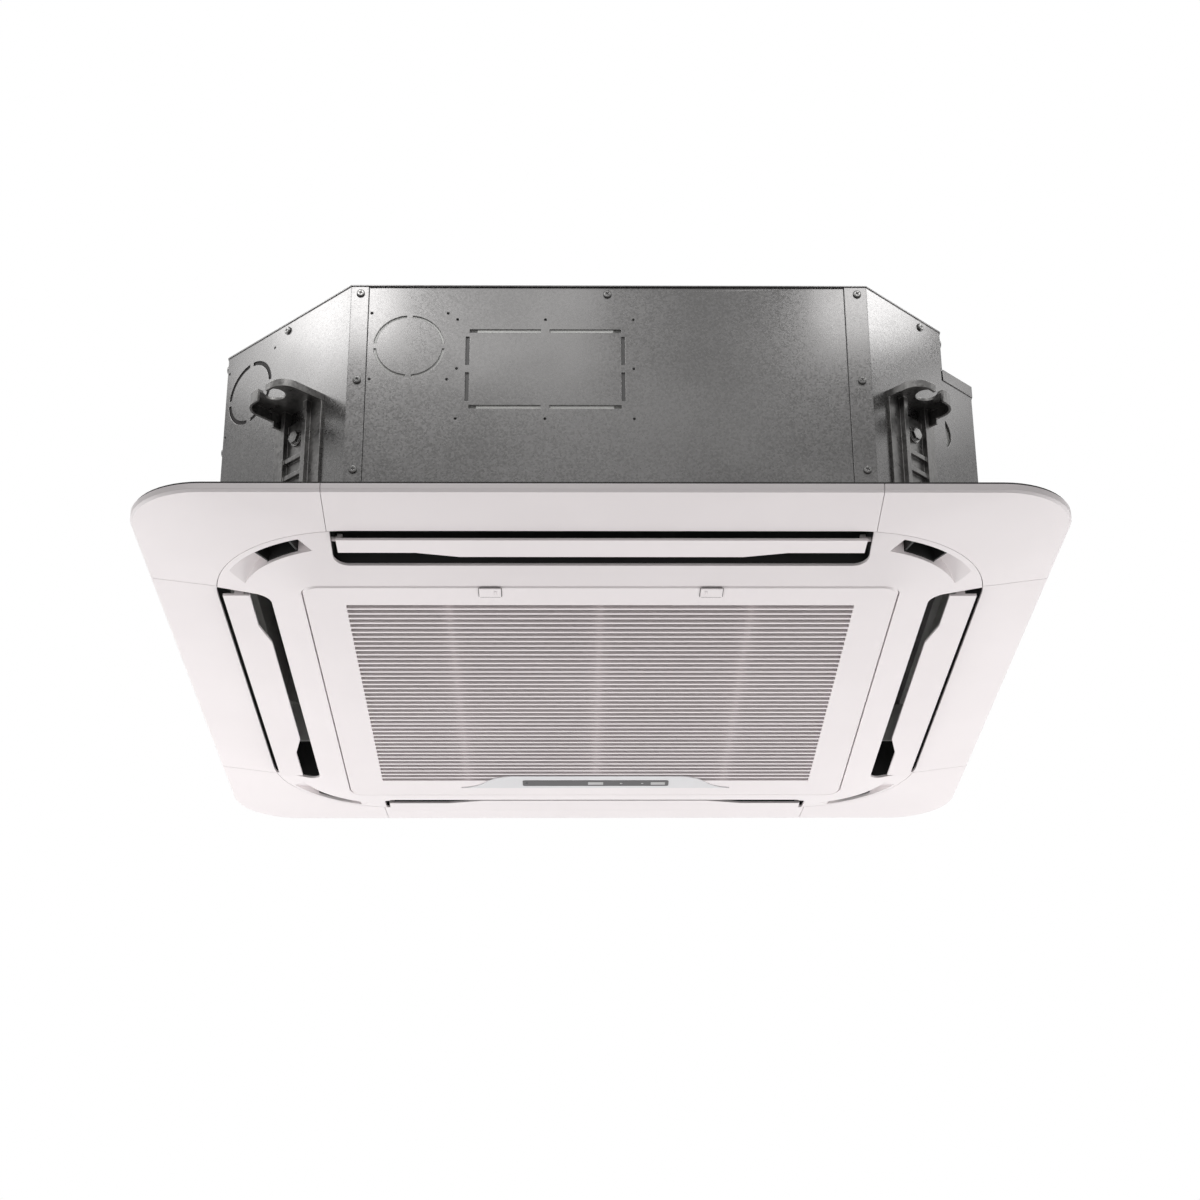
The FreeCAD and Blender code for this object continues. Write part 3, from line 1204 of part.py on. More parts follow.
def skirt_pieces():
    """Four side trims and four corner covers, with ribs that rest on the frame's flange."""
    body = skirt_body()
    shell = skirt_shell(body)
    far = OVERRUN + PANEL_HALF
    end = SEAM_END - SEAM_GAP / 2
    start = SEAM_END + SEAM_GAP / 2
    rib_half = PANEL_WALL / 2
    rib_in, rib_out = SEAM_HALF + PANEL_WALL, PANEL_HALF - PANEL_WALL
    trim = shell.common(box(-end, end, -far, 0, -far, far))
    trim_ribs = [box(x - rib_half, x + rib_half, -rib_out, -rib_in, SEAM_Z, FLANGE_LOW)
                 for x in [share * SEAM_END for share in TRIM_RIB_SHARES]]
    trim = join([trim] + [rib.common(body) for rib in trim_ribs])
    cover = shell.common(box(start, far, -far, -start, -far, far))
    rib_x = SEAM_END + COVER_RIB_SHIFT
    reach = PANEL_HALF - PANEL_CORNER_R
    rib = box(rib_x - rib_half, rib_x + rib_half, -rib_out, -reach - PANEL_WALL, SEAM_Z, FLANGE_LOW)
    ribs = [rib, box(reach + PANEL_WALL, rib_out, -rib_x - rib_half, -rib_x + rib_half, SEAM_Z, FLANGE_LOW)]
    cover = join([cover] + [piece.common(body) for piece in ribs])
    pieces = {"side_trim_" + name: to_side(trim, turn) for name, turn in SIDES.items()}
    turns = {"front_right": 0, "rear_right": 1, "rear_left": 2, "front_left": 3}
    pieces.update({"corner_cover_" + name: to_side(cover, turn) for name, turn in turns.items()})
    return pieces


def duct_envelope(clear):
    """Outer block of one outlet duct at the front, with its lower face above the panel's skin."""
    u_in, u_out = OUTLET_IN - DUCT_WALL, SEAM_HALF + DUCT_WALL
    slope = (INTAKE_DEPTH - SEAM_DEPTH) / (SEAM_HALF - INTAKE_HALF)
    z_out = SEAM_Z + PANEL_WALL + DUCT_LIFT
    z_in = z_out - slope * (u_out - u_in)
    long_half = OUTLET_HALF + DUCT_WALL + clear
    section = [V(-long_half, -u_out - clear, z_out - clear), V(-long_half, -u_in + clear, z_in - clear),
               V(-long_half, -u_in + clear, COLLAR_TOP), V(-long_half, -u_out - clear, COLLAR_TOP)]
    return Part.Face(Part.makePolygon(section + section[:1])).extrude(V(long_half + long_half, 0, 0))


def outlet_opening():
    """The hole of one outlet at the front, with round inner corners."""
    far = OVERRUN
    hole = box(-OUTLET_HALF, OUTLET_HALF, -SEAM_HALF - SEAM_GAP, -OUTLET_IN, -far, COLLAR_TOP + far)
    inner = [edge for edge in hole.Edges
             if edge.Length > far and abs(edge.CenterOfMass.y + OUTLET_IN) < SEAM_GAP
             and abs(abs(edge.CenterOfMass.x) - OUTLET_HALF) < SEAM_GAP]
    return hole.makeFillet(OUTLET_CORNER_R, inner)


def louver_pin_hole():
    """Bearing holes of one louver in its duct's end walls, at the front."""
    reach = OUTLET_HALF + DUCT_WALL
    return bar_x(-LOUVER_PIVOT, LOUVER_PIVOT_Z, -reach, reach, LOUVER_PIN_R + LOUVER_PIN_CLEARANCE)


def vent_sector(r0, r1, start, end, z0, z1):
    """A sector of a ring round the front right vent's centre."""
    centre = SEAM_HALF - SEAM_R
    place = V(centre, -centre, z0)
    outer = Part.makeCylinder(r1, z1 - z0, place, Z_AXIS, end - start)
    ring = outer.cut(Part.makeCylinder(r0, z1 - z0, place, Z_AXIS))
    ring.rotate(place, Z_AXIS, start - 90)
    return ring


def vent_ramp(start, end, low, high):
    """Sloped roof at one end of a vent: from depth low at start to depth high at end."""
    centre = V(SEAM_HALF - SEAM_R, -(SEAM_HALF - SEAM_R), 0)
    pieces = []
    for i in range(VENT_RAMP_STEPS):
        wires = []
        for k in (i, i + 1):
            share = k / VENT_RAMP_STEPS
            angle = math.radians(start + (end - start) * share - 90)
            out = V(math.cos(angle), math.sin(angle), 0)
            depth = FLANGE_LOW - (low + (high - low) * share)
            a, b = centre + out * (VENT_R_IN - VENT_WALL), centre + out * (VENT_R_OUT + VENT_WALL)
            corners = [V(a.x, a.y, FLANGE_LOW), V(b.x, b.y, FLANGE_LOW), V(b.x, b.y, depth), V(a.x, a.y, depth)]
            wires.append(Part.makePolygon(corners + corners[:1]))
        pieces.append(Part.makeLoft(wires, True, True))
    return pieces


def to_vents(shape):
    """A shape drawn at the front right vent, mirrored to all four vents."""
    right = [shape, shape.mirror(ORIGIN, Y_AXIS)]
    return right + [piece.mirror(ORIGIN, X_AXIS) for piece in right]


def vent_pocket(grow, z0, z1):
    """The front right vent's black pocket, grown in plan by the wall or a gap."""
    turn = math.degrees(grow / VENT_R_IN)
    start, end = VENT_OPEN_START - turn, VENT_OPEN_END + turn
    return vent_sector(VENT_R_IN - grow, VENT_R_OUT + grow, start, end, z0, z1)


def vent_walls(frame_body):
    """Walls and sloped ends of the front right vent, between the skin and the flange."""
    turn = math.degrees(VENT_WALL / VENT_R_IN)
    outside = vent_sector(VENT_R_IN - VENT_WALL, VENT_R_OUT + VENT_WALL,
                          VENT_START - turn, VENT_END + turn, INTAKE_Z, FLANGE_LOW)
    inside = vent_sector(VENT_R_IN, VENT_R_OUT, VENT_START, VENT_END, INTAKE_Z, FLANGE_LOW)
    ramps = vent_ramp(VENT_START, VENT_OPEN_START, VENT_END_DEPTH, VENT_OPEN_DEPTH)
    ramps += vent_ramp(VENT_END, VENT_RIDGE, VENT_END_DEPTH, VENT_RIDGE_DEPTH)
    ramps += vent_ramp(VENT_RIDGE, VENT_OPEN_END, VENT_RIDGE_DEPTH, VENT_OPEN_DEPTH)
    room = vent_pocket(VENT_WALL + DUCT_GAP, INTAKE_Z, FLANGE_TOP)
    pieces = [outside.cut(inside)] + [ramp.common(inside) for ramp in ramps]
    return [piece.cut(room).common(frame_body) for piece in pieces]


def hinge_ear():
    """Ear that carries one grille pin, hung from the frame's collar on an arm."""
    x0, x1 = HINGE_X - HINGE_EAR_W / 2, HINGE_X + HINGE_EAR_W / 2
    arm_top = HINGE_ARM_Z + HINGE_ARM_T
    ear = join([
        bar_x(HINGE_Y, HINGE_Z, x0, x1, HINGE_EAR_R),
        box(x0, x1, HINGE_Y - HINGE_EAR_R, HINGE_Y, HINGE_Z, arm_top),
        box(x0, x1, HINGE_Y - HINGE_EAR_R, INTAKE_HALF + PANEL_WALL / 2, HINGE_ARM_Z, arm_top),
    ])
    return ear.cut(bar_x(HINGE_Y, HINGE_Z, x0, x1, HINGE_PIN_R + HINGE_PIN_CLEARANCE))


def motor_can_place():
    """Distance out and height of a louver motor's can."""
    return LOUVER_PIVOT + MOTOR_CAN_SHIFT, LOUVER_PIVOT_Z + MOTOR_CAN_RISE


def motor_can(grow):
    """Can of one louver motor at the front, outside the right end of the duct."""
    start = OUTLET_HALF + DUCT_WALL
    out, z = motor_can_place()
    return bar_x(-out, z, start - grow, start + MOTOR_CAN_LENGTH + grow, MOTOR_CAN_R + grow)


def frame_body():
    """The inner frame's outer surface, as a filled solid."""
    half, r = SEAM_HALF - SEAM_GAP, SEAM_R - SEAM_GAP
    return join([
        square_block(half, r, SEAM_Z, FLANGE_TOP),
        taper(INTAKE_HALF, INTAKE_R, INTAKE_Z, half, r, SEAM_Z),
    ])


def frame_hollow(lift):
    """The room above the inner frame's skin, lifted off it."""
    wall = PANEL_WALL
    half, r = SEAM_HALF - SEAM_GAP - wall, SEAM_R - SEAM_GAP - wall
    low, high = INTAKE_Z + wall + lift, SEAM_Z + wall + lift
    core = square_block(INTAKE_HALF + wall, INTAKE_R + wall, INTAKE_Z, COLLAR_TOP)
    return join([
        square_block(half, r, high, FLANGE_LOW + lift),
        taper(INTAKE_HALF + wall, INTAKE_R + wall, low, half, r, high),
    ]).cut(core)


def panel_frame():
    """Inner frame: skin, flange, collar, outlets, corner vents and the ears of the grille."""
    body = frame_body()
    window = vent_sector(VENT_R_IN, VENT_R_OUT, VENT_START, VENT_END, INTAKE_Z, FLANGE_LOW)
    shell = body.cut([frame_hollow(0)] + to_vents(window))
    flange_half = PANEL_HALF - PANEL_WALL - FLANGE_GAP
    flange_r = PANEL_CORNER_R - PANEL_WALL - FLANGE_GAP
    flange = square_block(flange_half, flange_r, FLANGE_LOW, FLANGE_TOP)
    collar = square_block(INTAKE_HALF + PANEL_WALL, INTAKE_R + PANEL_WALL, FLANGE_LOW, COLLAR_TOP)
    vents = [copy for piece in vent_walls(body) for copy in to_vents(piece)]
    frame = join([shell, flange, collar] + vents)
    cuts = [square_block(INTAKE_HALF, INTAKE_R, INTAKE_Z - OVERRUN, COLLAR_TOP + OVERRUN)]
    cuts += to_vents(vent_pocket(VENT_WALL + DUCT_GAP, FLANGE_LOW, FLANGE_TOP))
    screw_hole_r = PANEL_SCREW_R + PANEL_SCREW_CLEARANCE
    cuts += to_vents(rod(PANEL_SCREW_AT, -PANEL_SCREW_AT, FLANGE_LOW, FLANGE_TOP, screw_hole_r))
    holes = [outlet_opening(), duct_envelope(DUCT_GAP), motor_can(MOTOR_CAN_ROOM)]
    cuts += [to_side(hole, turn) for turn in SIDES.values() for hole in holes]
    frame = frame.cut(cuts)
    ear = hinge_ear()
    return join([frame, ear, ear.mirror(ORIGIN, X_AXIS)])


def outlet_ducts():
    """Black ducts above the four outlets, and a black pocket above each corner vent."""
    far = OVERRUN
    duct = duct_envelope(0).cut([
        box(-OUTLET_HALF, OUTLET_HALF, -SEAM_HALF, -OUTLET_IN, -far, far), louver_pin_hole()])
    ducts = [to_side(duct, turn) for turn in SIDES.values()]
    top = FLANGE_TOP + VENT_CAP_H
    foot = vent_pocket(VENT_WALL, INTAKE_Z, FLANGE_LOW).common(frame_hollow(DUCT_LIFT))
    pocket = join([
        foot,
        vent_pocket(VENT_WALL, FLANGE_LOW, top),
        vent_pocket(VENT_WALL + VENT_LIP, FLANGE_TOP, FLANGE_TOP + VENT_WALL),
    ])
    pocket = pocket.cut(vent_pocket(0, INTAKE_Z, top - VENT_WALL))
    return Part.makeCompound(ducts + to_vents(pocket))


def panel_gasket():
    """Foam gasket between the panel and the ceiling."""
    outer = PANEL_HALF - GASKET_INSET
    r = PANEL_CORNER_R - GASKET_INSET
    return square_ring(outer - GASKET_W, outer, r - GASKET_W, r, FLANGE_TOP, 0)


def panel_screws():
    """Four screws from the frame's flange to the hangers' feet, each with its nut."""
    foot_top = BODY_BOTTOM + HANGER_T
    tip = foot_top + PANEL_NUT_H
    one = join([
        rod(PANEL_SCREW_AT, -PANEL_SCREW_AT, FLANGE_LOW - PANEL_SCREW_HEAD_H, FLANGE_LOW, PANEL_SCREW_HEAD_R),
        rod(PANEL_SCREW_AT, -PANEL_SCREW_AT, FLANGE_LOW, tip, PANEL_SCREW_R),
        hexagon(PANEL_SCREW_AT, -PANEL_SCREW_AT, foot_top, tip, PANEL_SCREW_HEAD_R),
    ])
    return Part.makeCompound([to_side(one, turn) for turn in SIDES.values()])


# Louvers, grille and what rides on it


def louver():
    """Louver of the front outlet: a level blade with narrow ends, two arms and two pins."""
    low, high = LOUVER_Z, LOUVER_Z + LOUVER_T
    narrow_start = LOUVER_HALF - LOUVER_NARROW_LENGTH
    blade = box(-LOUVER_HALF, LOUVER_HALF, -LOUVER_OUT, -LOUVER_IN, low, high)
    notch = slab([
        (narrow_start - LOUVER_STEP_LENGTH, -LOUVER_IN), (narrow_start, -LOUVER_IN - LOUVER_NARROW),
        (LOUVER_HALF, -LOUVER_IN - LOUVER_NARROW), (LOUVER_HALF, -LOUVER_IN),
    ], low, high)
    blade = blade.cut([notch, notch.mirror(ORIGIN, X_AXIS)])
    pieces = [blade]
    for way in (-1, 1):
        xs = sorted((way * (LOUVER_HALF - LOUVER_ARM_W), way * LOUVER_HALF))
        pieces.append(box(xs[0], xs[1], -LOUVER_PIVOT - LOUVER_ARM_HALF, -LOUVER_PIVOT + LOUVER_ARM_HALF,
                          low, LOUVER_PIVOT_Z))
        pieces.append(bar_x(-LOUVER_PIVOT, LOUVER_PIVOT_Z, xs[0], xs[1], LOUVER_ARM_HALF))
        pin_end = OUTLET_HALF + LOUVER_PIN_REACH
        pin = sorted((way * (LOUVER_HALF - LOUVER_ARM_W), way * pin_end))
        pieces.append(bar_x(-LOUVER_PIVOT, LOUVER_PIVOT_Z, pin[0], pin[1], LOUVER_PIN_R))
    return join(pieces)


def louver_motors():
    """One stepper motor on the end wall of each duct."""
    return Part.makeCompound([to_side(motor_can(0), turn) for turn in SIDES.values()])


def slat_gaps():
    """The leaning gaps between the grille's slats, as one compound."""
    pitch = (SLAT_REAR - SLAT_FRONT) / SLAT_COUNT
    gap = pitch * SLAT_GAP_SHARE
    low, high = GRILLE_FACE_Z, GRILLE_FACE_Z + SLAT_DEPTH
    lean = SLAT_LEAN / 2
    cuts = []
    for i in range(SLAT_COUNT):
        y = SLAT_FRONT + (i + 0.5) * pitch
        corners = [V(-SLAT_HALF, y - gap / 2 - lean, low), V(-SLAT_HALF, y + gap / 2 - lean, low),
                   V(-SLAT_HALF, y + gap / 2 + lean, high), V(-SLAT_HALF, y - gap / 2 + lean, high)]
        face = Part.Face(Part.makePolygon(corners + corners[:1]))
        cuts.append(face.extrude(V(SLAT_HALF + SLAT_HALF, 0, 0)))
    return Part.makeCompound(cuts)


def hinge_places():
    """Inner and outer faces of the pocket round each ear."""
    return HINGE_X - HINGE_EAR_W / 2 - HINGE_EAR_ROOM, HINGE_X + HINGE_EAR_W / 2 + HINGE_EAR_ROOM


def intake_grille():
    """Grille: bevelled face, slats, ribs, rim, and knuckles with the hinge pins."""
    skin_top = GRILLE_FACE_Z + GRILLE_SKIN
    face_half = GRILLE_HALF - GRILLE_EDGE
    bevel_top = GRILLE_FACE_Z + GRILLE_EDGE
    shell = join([
        taper(face_half, GRILLE_R - GRILLE_EDGE, GRILLE_FACE_Z, GRILLE_HALF, GRILLE_R, bevel_top),
        square_block(GRILLE_HALF, GRILLE_R, bevel_top, GRILLE_RIM_TOP),
    ])
    inner = GRILLE_HALF - GRILLE_SKIN
    shell = shell.cut(square_block(inner, GRILLE_R - GRILLE_SKIN, skin_top, GRILLE_RIM_TOP))
    field_top = GRILLE_FACE_Z + SLAT_DEPTH
    field = box(-SLAT_HALF, SLAT_HALF, SLAT_FRONT, SLAT_REAR, GRILLE_FACE_Z, field_top)
    bound = box(-SLAT_HALF - FIELD_WALL, SLAT_HALF + FIELD_WALL, SLAT_FRONT - FIELD_WALL,
                SLAT_REAR + FIELD_WALL, skin_top, GRILLE_RIM_TOP)
    bound = bound.cut(box(-SLAT_HALF, SLAT_HALF, SLAT_FRONT, SLAT_REAR, skin_top, GRILLE_RIM_TOP))
    ribs = [box(x - RIB_W / 2, x + RIB_W / 2, SLAT_FRONT, SLAT_REAR, field_top, GRILLE_RIM_TOP)
            for x in [share * SLAT_HALF for share in RIB_SHARES]]
    grille = join([shell, field, bound]).cut(slat_gaps())
    near, far = hinge_places()
    pocket_floor = GRILLE_FACE_Z + HINGE_POCKET_SKIN
    cuts, knuckles = [], []
    back = HINGE_Y - HINGE_EAR_R - HINGE_EAR_ROOM
    for way in (-1, 1):
        xs = sorted((way * near, way * far))
        cuts.append(box(xs[0], xs[1], back, GRILLE_HALF + GRILLE_SKIN, pocket_floor, GRILLE_RIM_TOP))
        for start in (near - KNUCKLE_W, far):
            ks = sorted((way * start, way * (start + KNUCKLE_W)))
            knuckles.append(box(ks[0], ks[1], HINGE_Y - KNUCKLE_HALF, HINGE_Y + KNUCKLE_HALF,
                                skin_top, HINGE_Z + KNUCKLE_HALF))
        pin = sorted((way * (near - KNUCKLE_W), way * (far + KNUCKLE_W)))
        knuckles.append(bar_x(HINGE_Y, HINGE_Z, pin[0], pin[1], HINGE_PIN_R))
        cuts.append(latch_slot(way))
    return join([grille.cut(cuts)] + ribs + knuckles)


def latch_stem(way):
    """Inner and outer x of a latch stem at rest."""
    mid = LATCH_X + LATCH_STEM_SHIFT
    return sorted((way * (mid - LATCH_STEM_W / 2), way * (mid + LATCH_STEM_W / 2)))


def latch_slot(way):
    """Slot in the grille's face for a latch stem and its travel."""
    x0, x1 = latch_stem(way)
    if way > 0:
        x0 -= LATCH_TRAVEL
    else:
        x1 += LATCH_TRAVEL
    half = LATCH_STEM_D / 2
    gap = LATCH_GAP + LATCH_GAP
    return box(x0 - gap, x1 + gap, LATCH_STEM_Y - half - gap, LATCH_STEM_Y + half + gap,
               GRILLE_FACE_Z, GRILLE_FACE_Z + GRILLE_SKIN)


def grille_latch(way):
    """Sliding latch: a thumb plate on the face, a stem through the slot and a keeper behind."""
    x0, x1 = latch_stem(way)
    top = GRILLE_FACE_Z - LATCH_GAP
    low = top - LATCH_T
    back = GRILLE_FACE_Z + GRILLE_SKIN + LATCH_GAP
    mid = way * LATCH_X
    half = LATCH_STEM_D / 2
    keeper = LATCH_BACK_D / 2
    stem_mid = (x0 + x1) / 2
    grip_x = mid - way * LATCH_W / 4
    return join([
        box(mid - LATCH_W / 2, mid + LATCH_W / 2, LATCH_Y - LATCH_D / 2, LATCH_Y + LATCH_D / 2, low, top),
        box(x0, x1, LATCH_STEM_Y - half, LATCH_STEM_Y + half, top, back),
        box(stem_mid - LATCH_BACK_W / 2, stem_mid + LATCH_BACK_W / 2, LATCH_STEM_Y - keeper,
            LATCH_STEM_Y + keeper, back, back + LATCH_BACK_T),
        box(grip_x - LATCH_GRIP_W / 2, grip_x + LATCH_GRIP_W / 2, LATCH_Y - half, LATCH_Y + half,
            low - LATCH_GRIP_T, low),
    ])


def air_filter():
    """Filter: a border with cross bars on a thin mesh sheet, resting on the grille's ribs."""
    low = GRILLE_RIM_TOP + FILTER_GAP
    outer = box(-FILTER_HALF, FILTER_HALF, -FILTER_HALF, FILTER_HALF, low, low + FILTER_T)
    inner = FILTER_HALF - FILTER_BORDER
    pieces = [outer.cut(box(-inner, inner, -inner, inner, low, low + FILTER_T)),
              box(-inner, inner, -inner, inner, low, low + FILTER_MESH_T)]
    for share in FILTER_BAR_SHARES:
        at = share * inner
        pieces.append(box(at - FILTER_BAR_W / 2, at + FILTER_BAR_W / 2, -inner, inner, low, low + FILTER_T / 2))
        pieces.append(box(-inner, inner, at - FILTER_BAR_W / 2, at + FILTER_BAR_W / 2, low, low + FILTER_T / 2))
    return join(pieces)


def display_trim():
    """Lens on the grille's rear border, with a straight rear edge and S-shaped ends."""
    z = GRILLE_FACE_Z - DISPLAY_T
    rear, front = DISPLAY_REAR, DISPLAY_FRONT
    bow = (rear - front) / 4
    middle = (DISPLAY_BASE_HALF + DISPLAY_TOP_HALF) / 2
    edges = [Part.LineSegment(V(-DISPLAY_BASE_HALF, rear, z), V(DISPLAY_BASE_HALF, rear, z)).toShape(),
             Part.LineSegment(V(-DISPLAY_TOP_HALF, front, z), V(DISPLAY_TOP_HALF, front, z)).toShape()]
    for way in (-1, 1):
        mid = V(way * middle, (rear + front) / 2, z)
        base, top = V(way * DISPLAY_BASE_HALF, rear, z), V(way * DISPLAY_TOP_HALF, front, z)
        low_mid = V(way * (DISPLAY_BASE_HALF + middle) / 2, rear - bow / 2, z)
        high_mid = V(way * (DISPLAY_TOP_HALF + middle) / 2, front + bow / 2, z)
        edges += [Part.Arc(base, low_mid, mid).toShape(), Part.Arc(mid, high_mid, top).toShape()]
    face = Part.Face(Part.Wire(Part.__sortEdges__(edges)))
    return face.extrude(V(0, 0, DISPLAY_T))


def display_window():
    """Dark strip of the display, proud of its lens."""
    z = GRILLE_FACE_Z - DISPLAY_T
    strip = box(-WINDOW_HALF, WINDOW_HALF, WINDOW_FRONT, WINDOW_FRONT + WINDOW_D, z - WINDOW_T, z)
    upright = [edge for edge in strip.Edges if abs(edge.tangentAt(edge.FirstParameter).z) > 1 / DIAGONAL]
    return strip.makeFillet(WINDOW_R, upright)


def build():
    """Every node's shape by name."""
    nodes = {"top_plate": top_plate(), "side_box": side_box(), "side_box_lid": side_box_lid(),
             "casing_screws": casing_screws()}
    nodes.update(side_plates())
    nodes.update(corner_plates())
    nodes.update(hangers())
    nodes.update({
        "gas_pipe": pipe(GAS_SHIFT, GAS_PIPE_R, GAS_UNION_R),
        "liquid_pipe": pipe(LIQUID_SHIFT, LIQUID_PIPE_R, LIQUID_UNION_R),
        "drain_outlet": drain_outlet(), "drain_pump": drain_pump(),
        "float_guide": float_guide(), "float": float_ring(),
        "foam_liner": foam_liner(), "drain_pan": drain_pan(),
        "evaporator_fins": evaporator_fins(), "evaporator_tubes": evaporator_tubes(),
        "bell_mouth": bell_mouth(), "turbo_fan": turbo_fan(), "fan_nut": fan_nut(),
        "fan_motor": fan_motor(), "motor_shaft": motor_shaft(),
        "motor_bushes": motor_bushes(), "motor_bolts": motor_bolts(),
        "control_box": control_box(), "control_box_cover": control_box_cover(),
        "control_board": control_board(),
    })
    nodes.update(skirt_pieces())
    blade = louver()
    nodes.update({"louver_" + name: to_side(blade, turn) for name, turn in SIDES.items()})
    nodes.update({
        "panel_frame": panel_frame(), "outlet_ducts": outlet_ducts(), "louver_motors": louver_motors(),
        "panel_gasket": panel_gasket(), "panel_screws": panel_screws(), "intake_grille": intake_grille(),
        "grille_latch_left": grille_latch(-1), "grille_latch_right": grille_latch(1),
        "air_filter": air_filter(), "display_trim": display_trim(), "display_window": display_window(),
    })
    return nodes


os.makedirs("parts", exist_ok=True)
for node, shape in sorted(build().items()):
    state = "valid" if shape.isValid() else "INVALID"
    print(node, len(shape.Solids), "solids", round(shape.Volume), "mm3", state)
    shape.exportStep("parts/" + node + ".step")
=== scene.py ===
# %% [markdown]
# A four-way cassette hangs in a false ceiling: a galvanised casing above it, and below it a white square
# panel with four louvers round a slatted intake grille. The machine parts come ready made from the CAD
# model, so this lesson starts by loading them as a fixed frame. Everything is in metres, +Z is up, and the
# origin is on the ceiling plane.

# %% Load the frame
import bmesh
import bpy
import json
import math
from mathutils import Matrix, Vector


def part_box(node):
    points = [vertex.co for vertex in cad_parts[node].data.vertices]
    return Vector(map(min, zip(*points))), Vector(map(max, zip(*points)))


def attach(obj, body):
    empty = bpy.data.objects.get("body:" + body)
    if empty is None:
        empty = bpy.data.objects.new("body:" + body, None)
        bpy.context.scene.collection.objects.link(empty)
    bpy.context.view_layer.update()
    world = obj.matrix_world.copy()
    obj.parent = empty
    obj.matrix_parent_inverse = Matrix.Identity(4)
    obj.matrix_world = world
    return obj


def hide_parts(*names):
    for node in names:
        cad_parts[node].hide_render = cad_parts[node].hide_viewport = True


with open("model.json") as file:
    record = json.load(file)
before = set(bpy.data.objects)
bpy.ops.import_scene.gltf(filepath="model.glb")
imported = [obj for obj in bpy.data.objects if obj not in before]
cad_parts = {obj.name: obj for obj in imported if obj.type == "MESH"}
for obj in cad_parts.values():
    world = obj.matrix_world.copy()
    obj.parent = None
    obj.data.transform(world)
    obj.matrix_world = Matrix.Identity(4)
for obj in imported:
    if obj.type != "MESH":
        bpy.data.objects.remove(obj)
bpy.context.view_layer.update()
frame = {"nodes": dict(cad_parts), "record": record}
nodes = frame["nodes"]
MM = 0.001
print("loaded", len(nodes), "nodes")

# %% [markdown]
# The photograph looks up at the unit from below and in front with a long lens. The camera was found by
# fitting the square panel and its four equal outlets, so its place and turns are plain measured values.
# A camera matrix needs three axes: right, up and backwards. They are worked out from pitch, yaw and roll,
# because that is easier to read than a matrix of nine numbers.

# %% Camera
LENS_MM = 69.336
SENSOR_MM = 36.0
CAMERA_PLACE = Vector((-30.9, -2481.4, -1066.3)) * MM
CAMERA_PITCH = math.radians(25.044)
CAMERA_YAW = math.radians(0.787)
CAMERA_ROLL = math.radians(-0.310)


def camera_matrix():
    """The camera's place and turn as a 4 by 4 matrix."""
    level = math.cos(CAMERA_PITCH)
    forward = Vector((math.sin(CAMERA_YAW) * level, math.cos(CAMERA_YAW) * level, math.sin(CAMERA_PITCH)))
    flat_right = Vector((math.cos(CAMERA_YAW), -math.sin(CAMERA_YAW), 0))
    flat_up = flat_right.cross(forward)
    right = flat_right * math.cos(CAMERA_ROLL) + flat_up * math.sin(CAMERA_ROLL)
    up = flat_up * math.cos(CAMERA_ROLL) - flat_right * math.sin(CAMERA_ROLL)
    turn = Matrix((right, up, -forward)).transposed().to_4x4()
    return Matrix.Translation(CAMERA_PLACE) @ turn


camera_data = bpy.data.cameras.new("photo_camera")
camera_data.lens = LENS_MM
camera_data.sensor_width = SENSOR_MM
camera = bpy.data.objects.new("photo_camera", camera_data)
camera.matrix_world = camera_matrix()
bpy.context.scene.collection.objects.link(camera)
bpy.context.scene.camera = camera
bpy.context.scene.view_settings.view_transform = "Standard"
print("camera at", [round(x, 3) for x in camera.location])

# %% [markdown]
# Studio light for a white thing that is seen from below. A pale floor bounces light up, and two wide lamps
# low on the left and right make those trims a little brighter than the front, as they are in the photograph.
# Smaller lamps stand close to the casing where its plates mirror them, so that the sheet metal is bright
# along its upper corners and falls off to a dull grey below. The backdrop is the world itself: white to the
# camera and to reflections, and dimmer as a lamp, so that the white panel keeps its shading. The floor does
# the same in part, so that it looks pale and still takes a shadow.

# %% Floor, lamps and backdrop
FLOOR_DROP = 1.6
FLOOR_SIZE = 40.0
FLOOR_COLOUR = (0.86, 0.86, 0.86, 1)
FLOOR_ROUGHNESS = 0.9
FLOOR_GLOW = 0.6
AMBIENT = 0.38
WHITE = 1.0
PANEL_MIDDLE = (0, 0, 0)
# Each lamp has its place, the place that it points at, its side in metres and its power in watts.
LAMPS = {
    "lamp_low_left": ((-1.5, 0.5, -1.1), PANEL_MIDDLE, 1.4, 24.0),
    "lamp_low_right": ((1.5, 0.5, -1.1), PANEL_MIDDLE, 1.4, 23.0),
    "lamp_corner_left": ((-0.62, -0.33, 0.44), (-0.33, -0.33, 0.27), 0.2, 0.39),
    "lamp_near_left": ((-0.50, -0.36, 0.40), (-0.33, -0.34, 0.27), 0.12, 0.18),
    "lamp_near_right": ((0.51, -0.37, 0.40), (0.34, -0.35, 0.27), 0.12, 0.31),
    "lamp_lid_right": ((0.68, -0.28, 0.35), (0.42, -0.27, 0.22), 0.1, 0.06),
    "lamp_edge_left": ((-0.29, -0.62, 0.39), (-0.27, -0.41, 0.27), 0.12, 0.34),
    "lamp_edge_right": ((0.31, -0.62, 0.39), (0.28, -0.41, 0.27), 0.12, 0.24),
    "lamp_top_front": ((0, -0.90, 0.62), (0, -0.41, 0.27), 0.5, 0.31),
    "lamp_top_left": ((-0.14, -0.66, 0.46), (-0.10, -0.41, 0.27), 0.3, 0.41),
}


